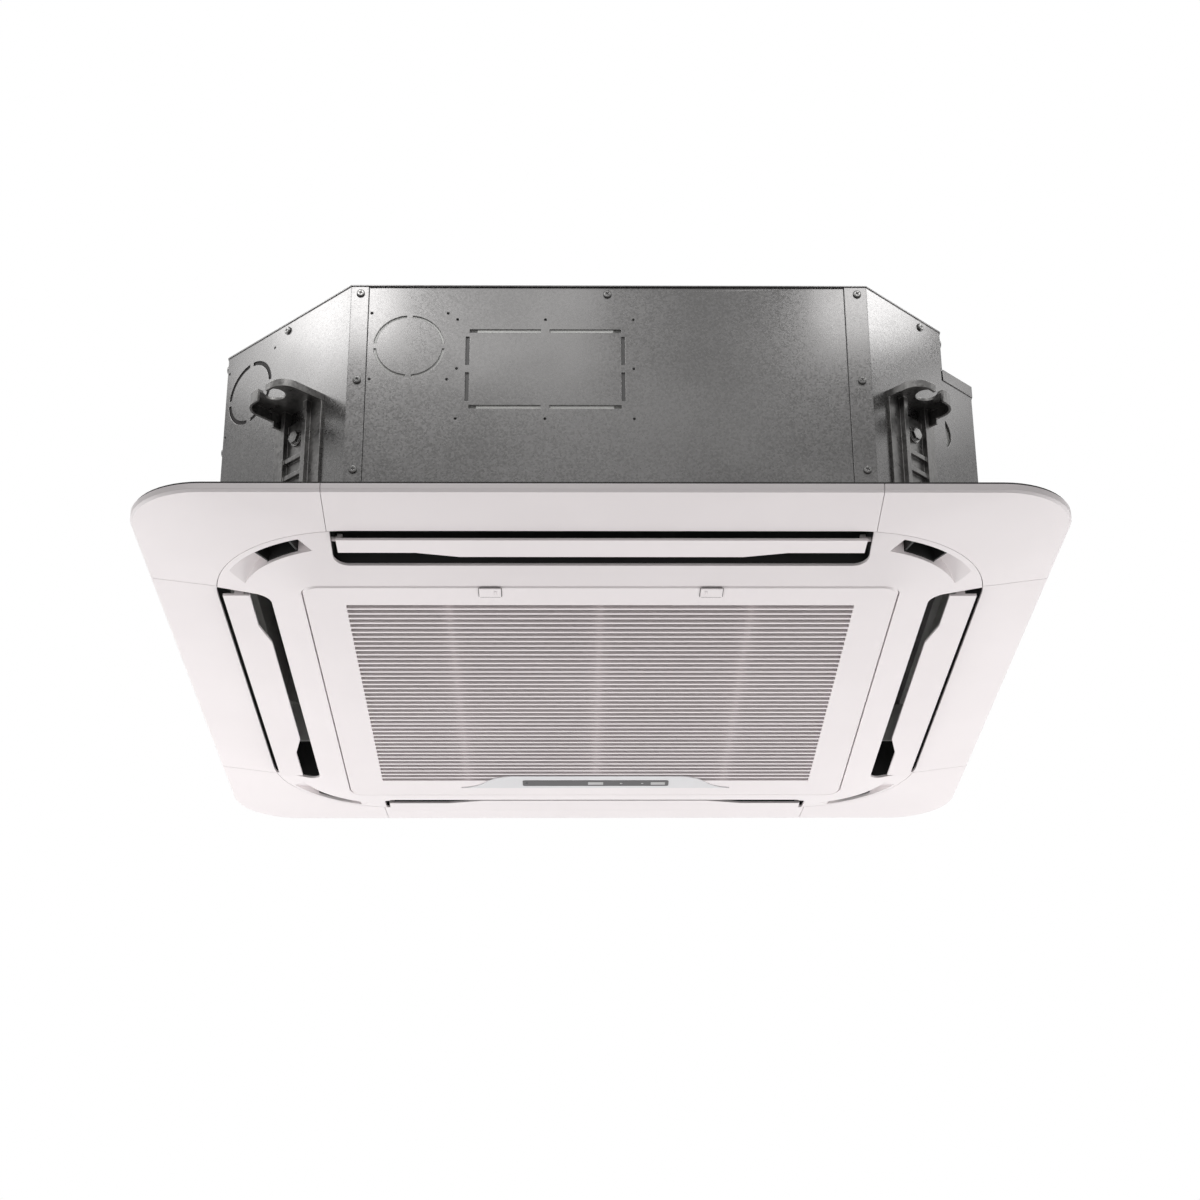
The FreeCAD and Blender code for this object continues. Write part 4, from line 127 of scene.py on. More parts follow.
def soft_lamp(name, place, target, size, watts):
    """A square area lamp that points at a place and isn't seen itself."""
    light = bpy.data.lights.new(name, "AREA")
    light.shape = "SQUARE"
    light.size = size
    light.energy = watts
    lamp = bpy.data.objects.new(name, light)
    lamp.location = place
    lamp.rotation_euler = (Vector(target) - Vector(place)).to_track_quat("-Z", "Y").to_euler()
    lamp.visible_camera = False
    bpy.context.scene.collection.objects.link(lamp)


def spread(tree, factor, low, high):
    """A value between low and high, by a value output."""
    band = tree.nodes.new("ShaderNodeMapRange")
    band.inputs["To Min"].default_value = low
    band.inputs["To Max"].default_value = high
    tree.links.new(factor, band.inputs["Value"])
    return band.outputs["Result"]


def looked_at(tree, unseen, seen):
    """One value for rays of light, and another for what the camera, a reflection or glass looks at."""
    path = tree.nodes.new("ShaderNodeLightPath")
    either = path.outputs["Is Camera Ray"]
    for label in ("Is Glossy Ray", "Is Transmission Ray"):
        most = tree.nodes.new("ShaderNodeMath")
        most.operation = "MAXIMUM"
        tree.links.new(either, most.inputs[0])
        tree.links.new(path.outputs[label], most.inputs[1])
        either = most.outputs[0]
    return spread(tree, either, unseen, seen)


def backdrop_world():
    """A world that is white to the camera and to reflections, and dimmer as a lamp."""
    world = bpy.data.worlds.new("white_backdrop")
    world.use_nodes = True
    tree = world.node_tree
    back = tree.nodes["Background"]
    back.inputs["Color"].default_value = (WHITE, WHITE, WHITE, 1)
    tree.links.new(looked_at(tree, AMBIENT, WHITE), back.inputs["Strength"])
    bpy.context.scene.world = world


def floor_paint():
    """Pale paint that takes shadows, partly white to the camera and to reflections."""
    paint = bpy.data.materials.new("floor_paint")
    paint.use_nodes = True
    tree = paint.node_tree
    shader = tree.nodes["Principled BSDF"]
    shader.inputs["Base Color"].default_value = FLOOR_COLOUR
    shader.inputs["Roughness"].default_value = FLOOR_ROUGHNESS
    white = tree.nodes.new("ShaderNodeEmission")
    mix = tree.nodes.new("ShaderNodeMixShader")
    tree.links.new(looked_at(tree, 0, FLOOR_GLOW), mix.inputs["Fac"])
    tree.links.new(shader.outputs["BSDF"], mix.inputs[1])
    tree.links.new(white.outputs["Emission"], mix.inputs[2])
    tree.links.new(mix.outputs["Shader"], tree.nodes["Material Output"].inputs["Surface"])
    return paint


def pale_floor():
    """A wide flat floor far below the panel."""
    half = FLOOR_SIZE / 2
    mesh = bpy.data.meshes.new("floor")
    corners = [(-half, -half, -FLOOR_DROP), (half, -half, -FLOOR_DROP),
               (half, half, -FLOOR_DROP), (-half, half, -FLOOR_DROP)]
    mesh.from_pydata(corners, [], [(0, 1, 2, 3)])
    floor = bpy.data.objects.new("floor", mesh)
    mesh.materials.append(floor_paint())
    bpy.context.scene.collection.objects.link(floor)


for lamp_name, (place, target, size, watts) in LAMPS.items():
    soft_lamp(lamp_name, place, target, size, watts)
backdrop_world()
pale_floor()
print("lit by", len(LAMPS), "soft lamps")

# %% [markdown]
# Four effects turn up in many finishes, so each is a shader group that is built once. Fine grain is the
# sandy skin of moulded plastic and the tooth of dull metal: two noises, one for a slow change of shade and
# one for tiny bumps. Spangle is the frosted pattern of zinc crystals on galvanised sheet: cells of slightly
# different grey, made with a Voronoi texture. Soft edge rounds a sharp corner in the shading, because no
# moulded or folded piece has a knife edge, and gives a mask of the edges. Settled dust lies on what faces up.

# %% Shader groups for grain, spangle, soft edges and dust
SHADE_SCALE = 6.0
SHADE_DETAIL = 3.0
BUMP_SCALE = 1500.0
BUMP_DETAIL = 2.0
CELL_SCALE = 320.0
STREAK_SCALE = 9.0
FOLD_RADIUS = 1.0 * MM
EDGE_SAMPLES = 6
EDGE_TURN = 0.75
DUST_AMOUNT = 0.6
DUST_LEVEL = 0.6
DUST_SCALE = 14.0


def new_group(name, inputs, outputs):
    """An empty shader group with float inputs, and outputs that are floats unless they are normals."""
    group = bpy.data.node_groups.new(name, "ShaderNodeTree")
    for label, value in inputs.items():
        socket = group.interface.new_socket(label, in_out="INPUT", socket_type="NodeSocketFloat")
        socket.default_value = value
    for label in outputs:
        kind = "NodeSocketVector" if label == "Normal" else "NodeSocketFloat"
        group.interface.new_socket(label, in_out="OUTPUT", socket_type=kind)
    return group, group.nodes.new("NodeGroupInput"), group.nodes.new("NodeGroupOutput")


def fine_grain_group():
    """Slow shade and fine bumps on Object coordinates."""
    scales = {"Shade Scale": SHADE_SCALE, "Bump Scale": BUMP_SCALE}
    group, given, made = new_group("fine_grain", scales, ("Shade", "Bumps"))
    place = group.nodes.new("ShaderNodeTexCoord")
    noises = (("Shade", "Shade Scale", SHADE_DETAIL), ("Bumps", "Bump Scale", BUMP_DETAIL))
    for label, scale, detail in noises:
        noise = group.nodes.new("ShaderNodeTexNoise")
        noise.inputs["Detail"].default_value = detail
        group.links.new(place.outputs["Object"], noise.inputs["Vector"])
        group.links.new(given.outputs[scale], noise.inputs["Scale"])
        group.links.new(noise.outputs["Fac"], made.inputs[label])
    return group


def spangle_group():
    """Zinc crystals: cells of slightly different grey, and soft streaks from rolling."""
    scales = {"Cell Scale": CELL_SCALE, "Streak Scale": STREAK_SCALE}
    group, given, made = new_group("spangle", scales, ("Cells", "Streaks"))
    place = group.nodes.new("ShaderNodeTexCoord")
    cells = group.nodes.new("ShaderNodeTexVoronoi")
    group.links.new(place.outputs["Object"], cells.inputs["Vector"])
    group.links.new(given.outputs["Cell Scale"], cells.inputs["Scale"])
    grey = group.nodes.new("ShaderNodeSeparateColor")
    group.links.new(cells.outputs["Color"], grey.inputs["Color"])
    group.links.new(grey.outputs["Red"], made.inputs["Cells"])
    streaks = group.nodes.new("ShaderNodeTexNoise")
    group.links.new(place.outputs["Object"], streaks.inputs["Vector"])
    group.links.new(given.outputs["Streak Scale"], streaks.inputs["Scale"])
    group.links.new(streaks.outputs["Fac"], made.inputs["Streaks"])
    return group


def soft_edge_group():
    """A normal that turns round the edges, and a mask that rises to 1 on them."""
    group, given, made = new_group("soft_edge", {"Radius": FOLD_RADIUS}, ("Normal", "Edge"))
    rounded = group.nodes.new("ShaderNodeBevel")
    rounded.samples = EDGE_SAMPLES
    group.links.new(given.outputs["Radius"], rounded.inputs["Radius"])
    surface = group.nodes.new("ShaderNodeNewGeometry")
    likeness = group.nodes.new("ShaderNodeVectorMath")
    likeness.operation = "DOT_PRODUCT"
    group.links.new(rounded.outputs["Normal"], likeness.inputs[0])
    group.links.new(surface.outputs["Normal"], likeness.inputs[1])
    edge = group.nodes.new("ShaderNodeMapRange")
    edge.inputs["From Min"].default_value = 1.0
    edge.inputs["From Max"].default_value = EDGE_TURN
    group.links.new(likeness.outputs["Value"], edge.inputs["Value"])
    group.links.new(rounded.outputs["Normal"], made.inputs["Normal"])
    group.links.new(edge.outputs["Result"], made.inputs["Edge"])
    return group


def dust_group():
    """A patchy mask on what faces up."""
    group, given, made = new_group("settled_dust", {"Amount": DUST_AMOUNT}, ("Dust",))
    place = group.nodes.new("ShaderNodeTexCoord")
    parts = group.nodes.new("ShaderNodeSeparateXYZ")
    group.links.new(place.outputs["Normal"], parts.inputs["Vector"])
    upward = group.nodes.new("ShaderNodeMapRange")
    upward.inputs["From Min"].default_value = DUST_LEVEL
    group.links.new(parts.outputs["Z"], upward.inputs["Value"])
    patches = group.nodes.new("ShaderNodeTexNoise")
    patches.inputs["Scale"].default_value = DUST_SCALE
    group.links.new(place.outputs["Object"], patches.inputs["Vector"])
    patchy = group.nodes.new("ShaderNodeMath")
    patchy.operation = "MULTIPLY"
    group.links.new(upward.outputs["Result"], patchy.inputs[0])
    group.links.new(patches.outputs["Fac"], patchy.inputs[1])
    thick = group.nodes.new("ShaderNodeMath")
    thick.operation = "MULTIPLY"
    group.links.new(patchy.outputs[0], thick.inputs[0])
    group.links.new(given.outputs["Amount"], thick.inputs[1])
    group.links.new(thick.outputs[0], made.inputs["Dust"])
    return group


FINE_GRAIN = fine_grain_group()
SPANGLE = spangle_group()
SOFT_EDGE = soft_edge_group()
DUST = dust_group()
print("groups", [group.name for group in (FINE_GRAIN, SPANGLE, SOFT_EDGE, DUST)])

# %% [markdown]
# Every finish is a Principled shader fed by these groups. A plain helper mixes two close colours with the
# slow shade, varies the roughness a little and adds the bumps on top of the soft edges, which is enough for
# plastic, foam and rubber. Galvanised sheet and plated steel use the spangle in the same way, with full
# metallic, a brighter line where a fold or a cut edge is polished by handling, and dust on top.

# %% Finishes
EDGE_RADIUS = 0.8 * MM
DARKEST_SHARE = 0.3
LIGHTEST_SHARE = 0.7
GRAIN_DEPTH = 0.4 * MM
GRAIN_STRENGTH = 0.06
GRAIN_ROUGH_SPREAD = 0.05
SPANGLE_DEPTH = 0.3 * MM
SPANGLE_STRENGTH = 0.04
SPANGLE_ROUGH_SPREAD = 0.07
CELL_SHARE = 0.35
STREAK_SHARE = 0.65
WORN_SHARE = 0.5
WORN_GAIN = 2
DUST_COLOUR = (0.30, 0.285, 0.27)
DUST_ROUGHNESS = 0.5
DUST_METAL = 0.3


def group_node(tree, group, values):
    """A group placed in a material, with its own input values."""
    node = tree.nodes.new("ShaderNodeGroup")
    node.node_tree = group
    for label, value in values.items():
        node.inputs[label].default_value = value
    return node


def mixed_colour(tree, factor, dark, light):
    """A colour between dark and light, by a value output."""
    ramp = tree.nodes.new("ShaderNodeValToRGB")
    stops = ramp.color_ramp.elements
    for stop, position, colour in zip(stops, (DARKEST_SHARE, LIGHTEST_SHARE), (dark, light)):
        stop.position = position
        stop.color = (*colour, 1)
    tree.links.new(factor, ramp.inputs["Fac"])
    return ramp.outputs["Color"]


def laid_over(tree, factor, below, colour):
    """A plain colour laid over a colour output, by a mask output."""
    mix = tree.nodes.new("ShaderNodeMix")
    mix.data_type = "RGBA"
    sockets = {socket.identifier: socket for socket in (*mix.inputs, *mix.outputs)}
    sockets["B_Color"].default_value = (*colour, 1)
    tree.links.new(factor, sockets["Factor_Float"])
    tree.links.new(below, sockets["A_Color"])
    return sockets["Result_Color"]


def scaled_sum(tree, factor, scale, rest):
    """A value output times a number, plus another value output."""
    total = tree.nodes.new("ShaderNodeMath")
    total.operation = "MULTIPLY_ADD"
    total.inputs[1].default_value = scale
    tree.links.new(factor, total.inputs[0])
    tree.links.new(rest, total.inputs[2])
    return total.outputs[0]


def bumped(tree, height, strength, distance, below):
    """A normal from a height output, on top of another normal."""
    bump = tree.nodes.new("ShaderNodeBump")
    bump.inputs["Strength"].default_value = strength
    bump.inputs["Distance"].default_value = distance
    tree.links.new(height, bump.inputs["Height"])
    tree.links.new(below, bump.inputs["Normal"])
    return bump.outputs["Normal"]


def grained(name, dark, light, rough, metallic=0, shade=SHADE_SCALE, bumps=BUMP_SCALE,
            strength=GRAIN_STRENGTH):
    """Plastic, foam, rubber or plain metal with slow shade, fine bumps and soft edges."""
    finish = bpy.data.materials.new(name)
    finish.use_nodes = True
    tree = finish.node_tree
    shader = tree.nodes["Principled BSDF"]
    grain = group_node(tree, FINE_GRAIN, {"Shade Scale": shade, "Bump Scale": bumps})
    soft = group_node(tree, SOFT_EDGE, {"Radius": EDGE_RADIUS})
    normal = bumped(tree, grain.outputs["Bumps"], strength, GRAIN_DEPTH, soft.outputs["Normal"])
    colour = mixed_colour(tree, grain.outputs["Shade"], dark, light)
    roughness = spread(tree, grain.outputs["Shade"], rough - GRAIN_ROUGH_SPREAD, rough + GRAIN_ROUGH_SPREAD)
    tree.links.new(colour, shader.inputs["Base Color"])
    tree.links.new(roughness, shader.inputs["Roughness"])
    tree.links.new(normal, shader.inputs["Normal"])
    shader.inputs["Metallic"].default_value = metallic
    return finish


def zinc_coated(name, dark, light, rough, cell, metal=1):
    """Galvanised or plated steel: spangle in the colour and the roughness, bright edges and dust."""
    finish = bpy.data.materials.new(name)
    finish.use_nodes = True
    tree = finish.node_tree
    shader = tree.nodes["Principled BSDF"]
    zinc = group_node(tree, SPANGLE, {"Cell Scale": cell})
    soft = group_node(tree, SOFT_EDGE, {"Radius": FOLD_RADIUS})
    lying = group_node(tree, DUST, {"Amount": DUST_AMOUNT})
    streaks = spread(tree, zinc.outputs["Streaks"], 0, STREAK_SHARE)
    sheet = mixed_colour(tree, scaled_sum(tree, zinc.outputs["Cells"], CELL_SHARE, streaks), dark, light)
    polish = spread(tree, soft.outputs["Edge"], 0, WORN_SHARE)
    worn = laid_over(tree, polish, sheet, [WORN_GAIN * part for part in light])
    dusty = laid_over(tree, lying.outputs["Dust"], worn, DUST_COLOUR)
    smoothest, roughest = rough - SPANGLE_ROUGH_SPREAD, rough + SPANGLE_ROUGH_SPREAD
    rough_sheet = spread(tree, zinc.outputs["Cells"], smoothest, roughest)
    roughness = scaled_sum(tree, lying.outputs["Dust"], DUST_ROUGHNESS, rough_sheet)
    metallic = spread(tree, lying.outputs["Dust"], metal, DUST_METAL)
    normal = bumped(tree, zinc.outputs["Cells"], SPANGLE_STRENGTH, SPANGLE_DEPTH, soft.outputs["Normal"])
    tree.links.new(dusty, shader.inputs["Base Color"])
    tree.links.new(roughness, shader.inputs["Roughness"])
    tree.links.new(metallic, shader.inputs["Metallic"])
    tree.links.new(normal, shader.inputs["Normal"])
    return finish


# Each finish has the material's name, its dark and light colours and its roughness. Zinc adds the scale of
# its cells.
FINISHES = {
    "white_panel": grained("panel_white", (0.80, 0.748, 0.752), (0.83, 0.778, 0.782), 0.42),
    "galvanised_sheet": zinc_coated("galvanised_sheet", (0.105, 0.103, 0.102), (0.150, 0.147, 0.146), 0.30,
                                    620.0),
    "hanger_steel": zinc_coated("hanger_steel", (0.10, 0.098, 0.096), (0.17, 0.166, 0.162), 0.34, CELL_SCALE,
                                metal=0.85),
    "zinc_steel": zinc_coated("zinc_plating", (0.11, 0.109, 0.107), (0.18, 0.177, 0.174), 0.22, 700.0),
    # Near black for the outlet throats: dark plastic, with painted shade deep inside them as well.
    "black_plastic": grained("duct_black_and_shade", (0.006, 0.006, 0.006), (0.012, 0.012, 0.012), 0.6),
    "gasket_foam": grained("gasket_foam", (0.012, 0.010, 0.010), (0.03, 0.028, 0.028), 0.85,
                           bumps=600.0, strength=0.3),
    "bush_rubber": grained("bush_rubber", (0.015, 0.015, 0.015), (0.03, 0.03, 0.03), 0.7),
    "white_foam": grained("moulded_foam", (0.60, 0.60, 0.58), (0.72, 0.72, 0.70), 0.85,
                          bumps=300.0, strength=0.25),
    "fin_aluminium": grained("fin_aluminium", (0.55, 0.57, 0.58), (0.68, 0.70, 0.71), 0.35, metallic=1),
    "copper_and_brass": grained("drawn_copper", (0.60, 0.30, 0.16), (0.72, 0.40, 0.24), 0.3, metallic=1),
    "grey_plastic": grained("drain_grey", (0.26, 0.26, 0.26), (0.33, 0.33, 0.33), 0.5),
    "motor_steel": zinc_coated("motor_can", (0.22, 0.22, 0.22), (0.32, 0.32, 0.32), 0.4, 200.0),
    "board_green": grained("board_green", (0.02, 0.12, 0.05), (0.04, 0.18, 0.08), 0.4, shade=80.0),
    "filter_mesh": grained("filter_mesh", (0.13, 0.118, 0.112), (0.18, 0.168, 0.162), 0.8,
                           bumps=700.0, strength=0.4),
    "display_grey": grained("display_lens", (0.66, 0.65, 0.66), (0.70, 0.69, 0.70), 0.3),
    "display_dark": grained("display_window", (0.060, 0.057, 0.058), (0.075, 0.071, 0.073), 0.35),
}


def dress(piece, finish):
    """One finish on the whole piece."""
    piece.data.materials.clear()
    piece.data.materials.append(finish)


for row in frame["record"]["subparts"]:
    dress(nodes[row["node"]], FINISHES[row["material_slot"]])

# %% [markdown]
# What repeats is made with Geometry Nodes. A tree gets a seed mesh, such as a few points or lines, and grows
# the copies on it. The last two steps are always Realize Instances and Set Material, because an export keeps
# neither instances nor live modifiers. A small helper runs a tree on its seed and keeps the plain mesh.
# Single pieces are built from bars and from rings of corners instead, so those helpers stand here too.

# %% Helpers for geometry trees and meshes
WELD = 0.01 * MM
BAR_FACES = 6


def new_tree(name, inputs):
    """An empty geometry tree with named inputs, as label: (socket type, value)."""
    tree = bpy.data.node_groups.new(name, "GeometryNodeTree")
    tree.interface.new_socket("Geometry", in_out="OUTPUT", socket_type="NodeSocketGeometry")
    tree.interface.new_socket("Geometry", in_out="INPUT", socket_type="NodeSocketGeometry")
    for label, (kind, value) in inputs.items():
        socket = tree.interface.new_socket(label, in_out="INPUT", socket_type=kind)
        if value is not None:
            socket.default_value = value
    return tree, tree.nodes.new("NodeGroupInput"), tree.nodes.new("NodeGroupOutput")


def close_tree(tree, instances, given, made):
    """Real copies in the given finish at the end of a tree."""
    real = tree.nodes.new("GeometryNodeRealizeInstances")
    paint = tree.nodes.new("GeometryNodeSetMaterial")
    tree.links.new(instances, real.inputs["Geometry"])
    tree.links.new(real.outputs["Geometry"], paint.inputs["Geometry"])
    tree.links.new(given.outputs["Finish"], paint.inputs["Material"])
    tree.links.new(paint.outputs["Geometry"], made.inputs["Geometry"])


def new_piece(name, mesh):
    """A piece at the origin, linked to the scene."""
    piece = bpy.data.objects.new(name, mesh)
    bpy.context.scene.collection.objects.link(piece)
    return piece


def grown(name, seed, tree, values):
    """The plain mesh that a tree grows on a seed, as a new piece."""
    holder = new_piece(name + "_seed", seed)
    modifier = holder.modifiers.new("grow", "NODES")
    modifier.node_group = tree
    for socket in tree.interface.items_tree:
        if socket.in_out == "INPUT" and socket.name in values:
            modifier[socket.identifier] = values[socket.name]
    graph = bpy.context.evaluated_depsgraph_get()
    mesh = bpy.data.meshes.new_from_object(holder.evaluated_get(graph), depsgraph=graph)
    bpy.data.objects.remove(holder)
    bpy.data.meshes.remove(seed)
    return new_piece(name, mesh)


def islands(node):
    """The separate solids of a node, each as a list of its corner points."""
    welded = bmesh.new()
    welded.from_mesh(nodes[node].data)
    bmesh.ops.remove_doubles(welded, verts=welded.verts, dist=WELD)
    for vert in welded.verts:
        vert.tag = False
    solids = []
    for start in welded.verts:
        if start.tag:
            continue
        start.tag = True
        waiting = [start]
        solid = []
        while waiting:
            vert = waiting.pop()
            solid.append(vert.co.copy())
            for edge in vert.link_edges:
                other = edge.other_vert(vert)
                if not other.tag:
                    other.tag = True
                    waiting.append(other)
        solids.append(solid)
    welded.free()
    return solids


def box_of(points):
    """The low and the high corner of the box round some points."""
    low = Vector([min(point[axis] for point in points) for axis in range(3)])
    high = Vector([max(point[axis] for point in points) for axis in range(3)])
    return low, high


def middle_of(points):
    """The middle of the box round some points."""
    low, high = box_of(points)
    return (low + high) / 2


def bar(mesh, low, high):
    """A closed bar between two corners."""
    made = bmesh.ops.create_cube(mesh, size=1)
    size = Vector(high) - Vector(low)
    place = Matrix.Translation((Vector(high) + Vector(low)) / 2) @ Matrix.Diagonal((*size, 1))
    bmesh.ops.transform(mesh, matrix=place, verts=made["verts"])


def joined_rings(mesh, lower, upper):
    """Faces between two rings of as many corners."""
    count = len(lower)
    for i in range(count):
        after = (i + 1) % count
        mesh.faces.new((lower[i], lower[after], upper[after], upper[i]))


def looped_rings(mesh, rings):
    """Faces from each ring to the next, and from the last one to the first."""
    for ring, after in zip(rings, rings[1:] + rings[:1]):
        joined_rings(mesh, ring, after)


def closed_mesh(name, mesh):
    """A mesh with its faces turned outwards."""
    bmesh.ops.recalc_face_normals(mesh, faces=mesh.faces)
    made = bpy.data.meshes.new(name)
    mesh.to_mesh(made)
    mesh.free()
    return made


print("helpers ready")

# %% [markdown]
# The casing is held together by pan head screws with a cross recess. One screw is built from given sizes: a
# turned profile, with a cross-shaped hole left in its top face. The tree sets a copy on each seed point,
# looking outwards, and turns each by a random angle, as screws end up. The seed points come from the solids
# of the machine's own screw node: a screw is shortest along its axis.

# %% Casing screws
SCREW_HEAD_RADIUS = 4.4 * MM
SCREW_HEAD_HEIGHT = 2.6 * MM
SCREW_SHANK_RADIUS = 2.0 * MM
SCREW_LENGTH = 6.2 * MM
SCREW_SIDES = 20
CROSS_ARM = 2.2 * MM
CROSS_HALF_WIDTH = 0.5 * MM
CROSS_DEPTH = 1.5 * MM
CROSS_FLOOR_SHARE = 0.55
HEAD_PROFILE_SHARES = ((1.0, 1.0), (1.0, 0.55), (0.94, 0.27), (0.80, 0.07), (0.66, 0.0))
SCREW_SEED = 7


def ring_of(mesh, radius, height):
    """A ring of corners round the screw's axis."""
    turns = [2 * math.pi * i / SCREW_SIDES for i in range(SCREW_SIDES)]
    return [mesh.verts.new((radius * math.cos(turn), radius * math.sin(turn), height)) for turn in turns]


def cross_of(mesh, scale, height):
    """The twelve corners of a cross, anticlockwise."""
    arm, half = CROSS_ARM * scale, CROSS_HALF_WIDTH * scale
    arm_points = ((arm, -half), (arm, half), (half, half))
    corners = []
    for quarter in range(4):
        turn = Matrix.Rotation(quarter * math.pi / 2, 2)
        corners += [turn @ Vector(point) for point in arm_points]
    return [mesh.verts.new((corner.x, corner.y, height)) for corner in corners]


def screw_mesh():
    """A pan head screw along +Z, with the top of its head at the origin."""
    mesh = bmesh.new()
    profile = [(SCREW_SHANK_RADIUS, -SCREW_LENGTH), (SCREW_SHANK_RADIUS, -SCREW_HEAD_HEIGHT)]
    profile += [(SCREW_HEAD_RADIUS * out, -SCREW_HEAD_HEIGHT * down) for out, down in HEAD_PROFILE_SHARES]
    rings = [ring_of(mesh, radius, height) for radius, height in profile]
    for lower, upper in zip(rings, rings[1:]):
        joined_rings(mesh, lower, upper)
    mesh.faces.new(rings[0])
    mouth = cross_of(mesh, 1, 0)
    floor = cross_of(mesh, CROSS_FLOOR_SHARE, -CROSS_DEPTH)
    joined_rings(mesh, mouth, floor)
    mesh.faces.new(floor)
    rim = [mesh.edges.get((ring[i - 1], ring[i])) or mesh.edges.new((ring[i - 1], ring[i]))
           for ring in (rings[-1], mouth) for i in range(len(ring))]
    bmesh.ops.triangle_fill(mesh, use_beauty=True, edges=rim)
    return closed_mesh("pan_head_screw", mesh)


def screws_tree():
    """Copies of a screw on points, along their outward attribute, each turned at random."""
    tree, given, made = new_tree("screws_on_points", {
        "Screw": ("NodeSocketObject", None), "Seed": ("NodeSocketInt", 0),
        "Finish": ("NodeSocketMaterial", None)})
    screw = tree.nodes.new("GeometryNodeObjectInfo")
    outward = tree.nodes.new("GeometryNodeInputNamedAttribute")
    outward.data_type = "FLOAT_VECTOR"
    outward.inputs["Name"].default_value = "outward"
    aim = tree.nodes.new("FunctionNodeAlignRotationToVector")
    aim.axis = "Z"
    spin = tree.nodes.new("FunctionNodeRandomValue")
    spin.inputs["Max"].default_value = 2 * math.pi
    turn = tree.nodes.new("ShaderNodeCombineXYZ")
    copies = tree.nodes.new("GeometryNodeInstanceOnPoints")
    turned = tree.nodes.new("GeometryNodeRotateInstances")
    tree.links.new(given.outputs["Screw"], screw.inputs["Object"])
    tree.links.new(given.outputs["Seed"], spin.inputs["Seed"])
    tree.links.new(outward.outputs["Attribute"], aim.inputs["Vector"])
    tree.links.new(given.outputs["Geometry"], copies.inputs["Points"])
    tree.links.new(screw.outputs["Geometry"], copies.inputs["Instance"])
    tree.links.new(aim.outputs["Rotation"], copies.inputs["Rotation"])
    tree.links.new(next(out for out in spin.outputs if out.enabled), turn.inputs["Z"])
    tree.links.new(copies.outputs["Instances"], turned.inputs["Instances"])
    tree.links.new(turn.outputs["Vector"], turned.inputs["Rotation"])
    close_tree(tree, turned.outputs["Instances"], given, made)
    return tree


def screw_seed(node):
    """A point on top of each screw head of a node, with the way that it looks."""
    slant = math.sqrt(0.5)
    ways = [Vector((1, 0, 0)), Vector((0, 1, 0)), Vector((slant, slant, 0)), Vector((slant, -slant, 0))]
    places, outwards = [], []
    for solid in islands(node):
        middle = middle_of(solid)
        lengths = [max(p.dot(way) for p in solid) - min(p.dot(way) for p in solid) for way in ways]
        way = ways[lengths.index(min(lengths))]
        outward = way if middle.dot(way) > 0 else -way
        top = max(point.dot(outward) for point in solid)
        places.append(middle + outward * (top - middle.dot(outward)))
        outwards.append(outward)
    seed = bpy.data.meshes.new(node + "_points")
    seed.from_pydata(places, [], [])
    looks = seed.attributes.new("outward", "FLOAT_VECTOR", "POINT")
    looks.data.foreach_set("vector", [part for outward in outwards for part in outward])
    return seed


one_screw = new_piece("one_screw", screw_mesh())
casing_screw_heads = grown("casing_screw_heads", screw_seed("casing_screws"), screws_tree(),
                           {"Screw": one_screw, "Seed": SCREW_SEED, "Finish": FINISHES["zinc_steel"]})
bpy.data.objects.remove(one_screw)
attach(casing_screw_heads, "casing")
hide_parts("casing_screws")
print("casing screws:", len(casing_screw_heads.data.polygons), "faces")

# %% [markdown]
# Two pieces are rows of thin plates. The coil is hundreds of aluminium fins on its tubes, and the air filter
# is a net of nylon strands in a frame. The same tree makes both: it walks along seed lines at a pitch and
# sets a plate across the line at each step. The fins' lines run where the machine's own fins stand. The
# filter's frame is a few crossing bars, with their edges bevelled.

# %% Coil fins and filter strands
FIN_PITCH = 2.6 * MM
FIN_THICKNESS = 0.25 * MM
STRAND_PITCH = 2.0 * MM
STRAND_WIDTH = 0.8 * MM
STRAND_THICKNESS = 0.6 * MM
FILTER_BORDER = 12.0 * MM
FILTER_BAR_WIDTH = 5.0 * MM
FILTER_BAR_SHARES = (-0.5, 0.0, 0.5)
FILTER_EDGE = 0.6 * MM
FILTER_EDGE_STEPS = 2
ROUND_PROFILE_SHARE = 0.5


def plates_tree():
    """Thin plates across the seed's lines, one at every step."""
    tree, given, made = new_tree("plates_along_lines", {
        "Pitch": ("NodeSocketFloat", FIN_PITCH), "Thickness": ("NodeSocketFloat", FIN_THICKNESS),
        "Width": ("NodeSocketFloat", 1), "Height": ("NodeSocketFloat", 1),
        "Finish": ("NodeSocketMaterial", None)})
    lines = tree.nodes.new("GeometryNodeMeshToCurve")
    steps = tree.nodes.new("GeometryNodeCurveToPoints")
    steps.mode = "LENGTH"
    aim = tree.nodes.new("FunctionNodeAlignRotationToVector")
    aim.axis = "X"
    size = tree.nodes.new("ShaderNodeCombineXYZ")
    plate = tree.nodes.new("GeometryNodeMeshCube")
    copies = tree.nodes.new("GeometryNodeInstanceOnPoints")
    tree.links.new(given.outputs["Geometry"], lines.inputs["Mesh"])
    tree.links.new(lines.outputs["Curve"], steps.inputs["Curve"])
    tree.links.new(given.outputs["Pitch"], steps.inputs["Length"])
    tree.links.new(steps.outputs["Tangent"], aim.inputs["Vector"])
    for label, axis in (("Thickness", "X"), ("Width", "Y"), ("Height", "Z")):
        tree.links.new(given.outputs[label], size.inputs[axis])
    tree.links.new(size.outputs["Vector"], plate.inputs["Size"])
    tree.links.new(steps.outputs["Points"], copies.inputs["Points"])
    tree.links.new(plate.outputs["Mesh"], copies.inputs["Instance"])
    tree.links.new(aim.outputs["Rotation"], copies.inputs["Rotation"])
    close_tree(tree, copies.outputs["Instances"], given, made)
    return tree


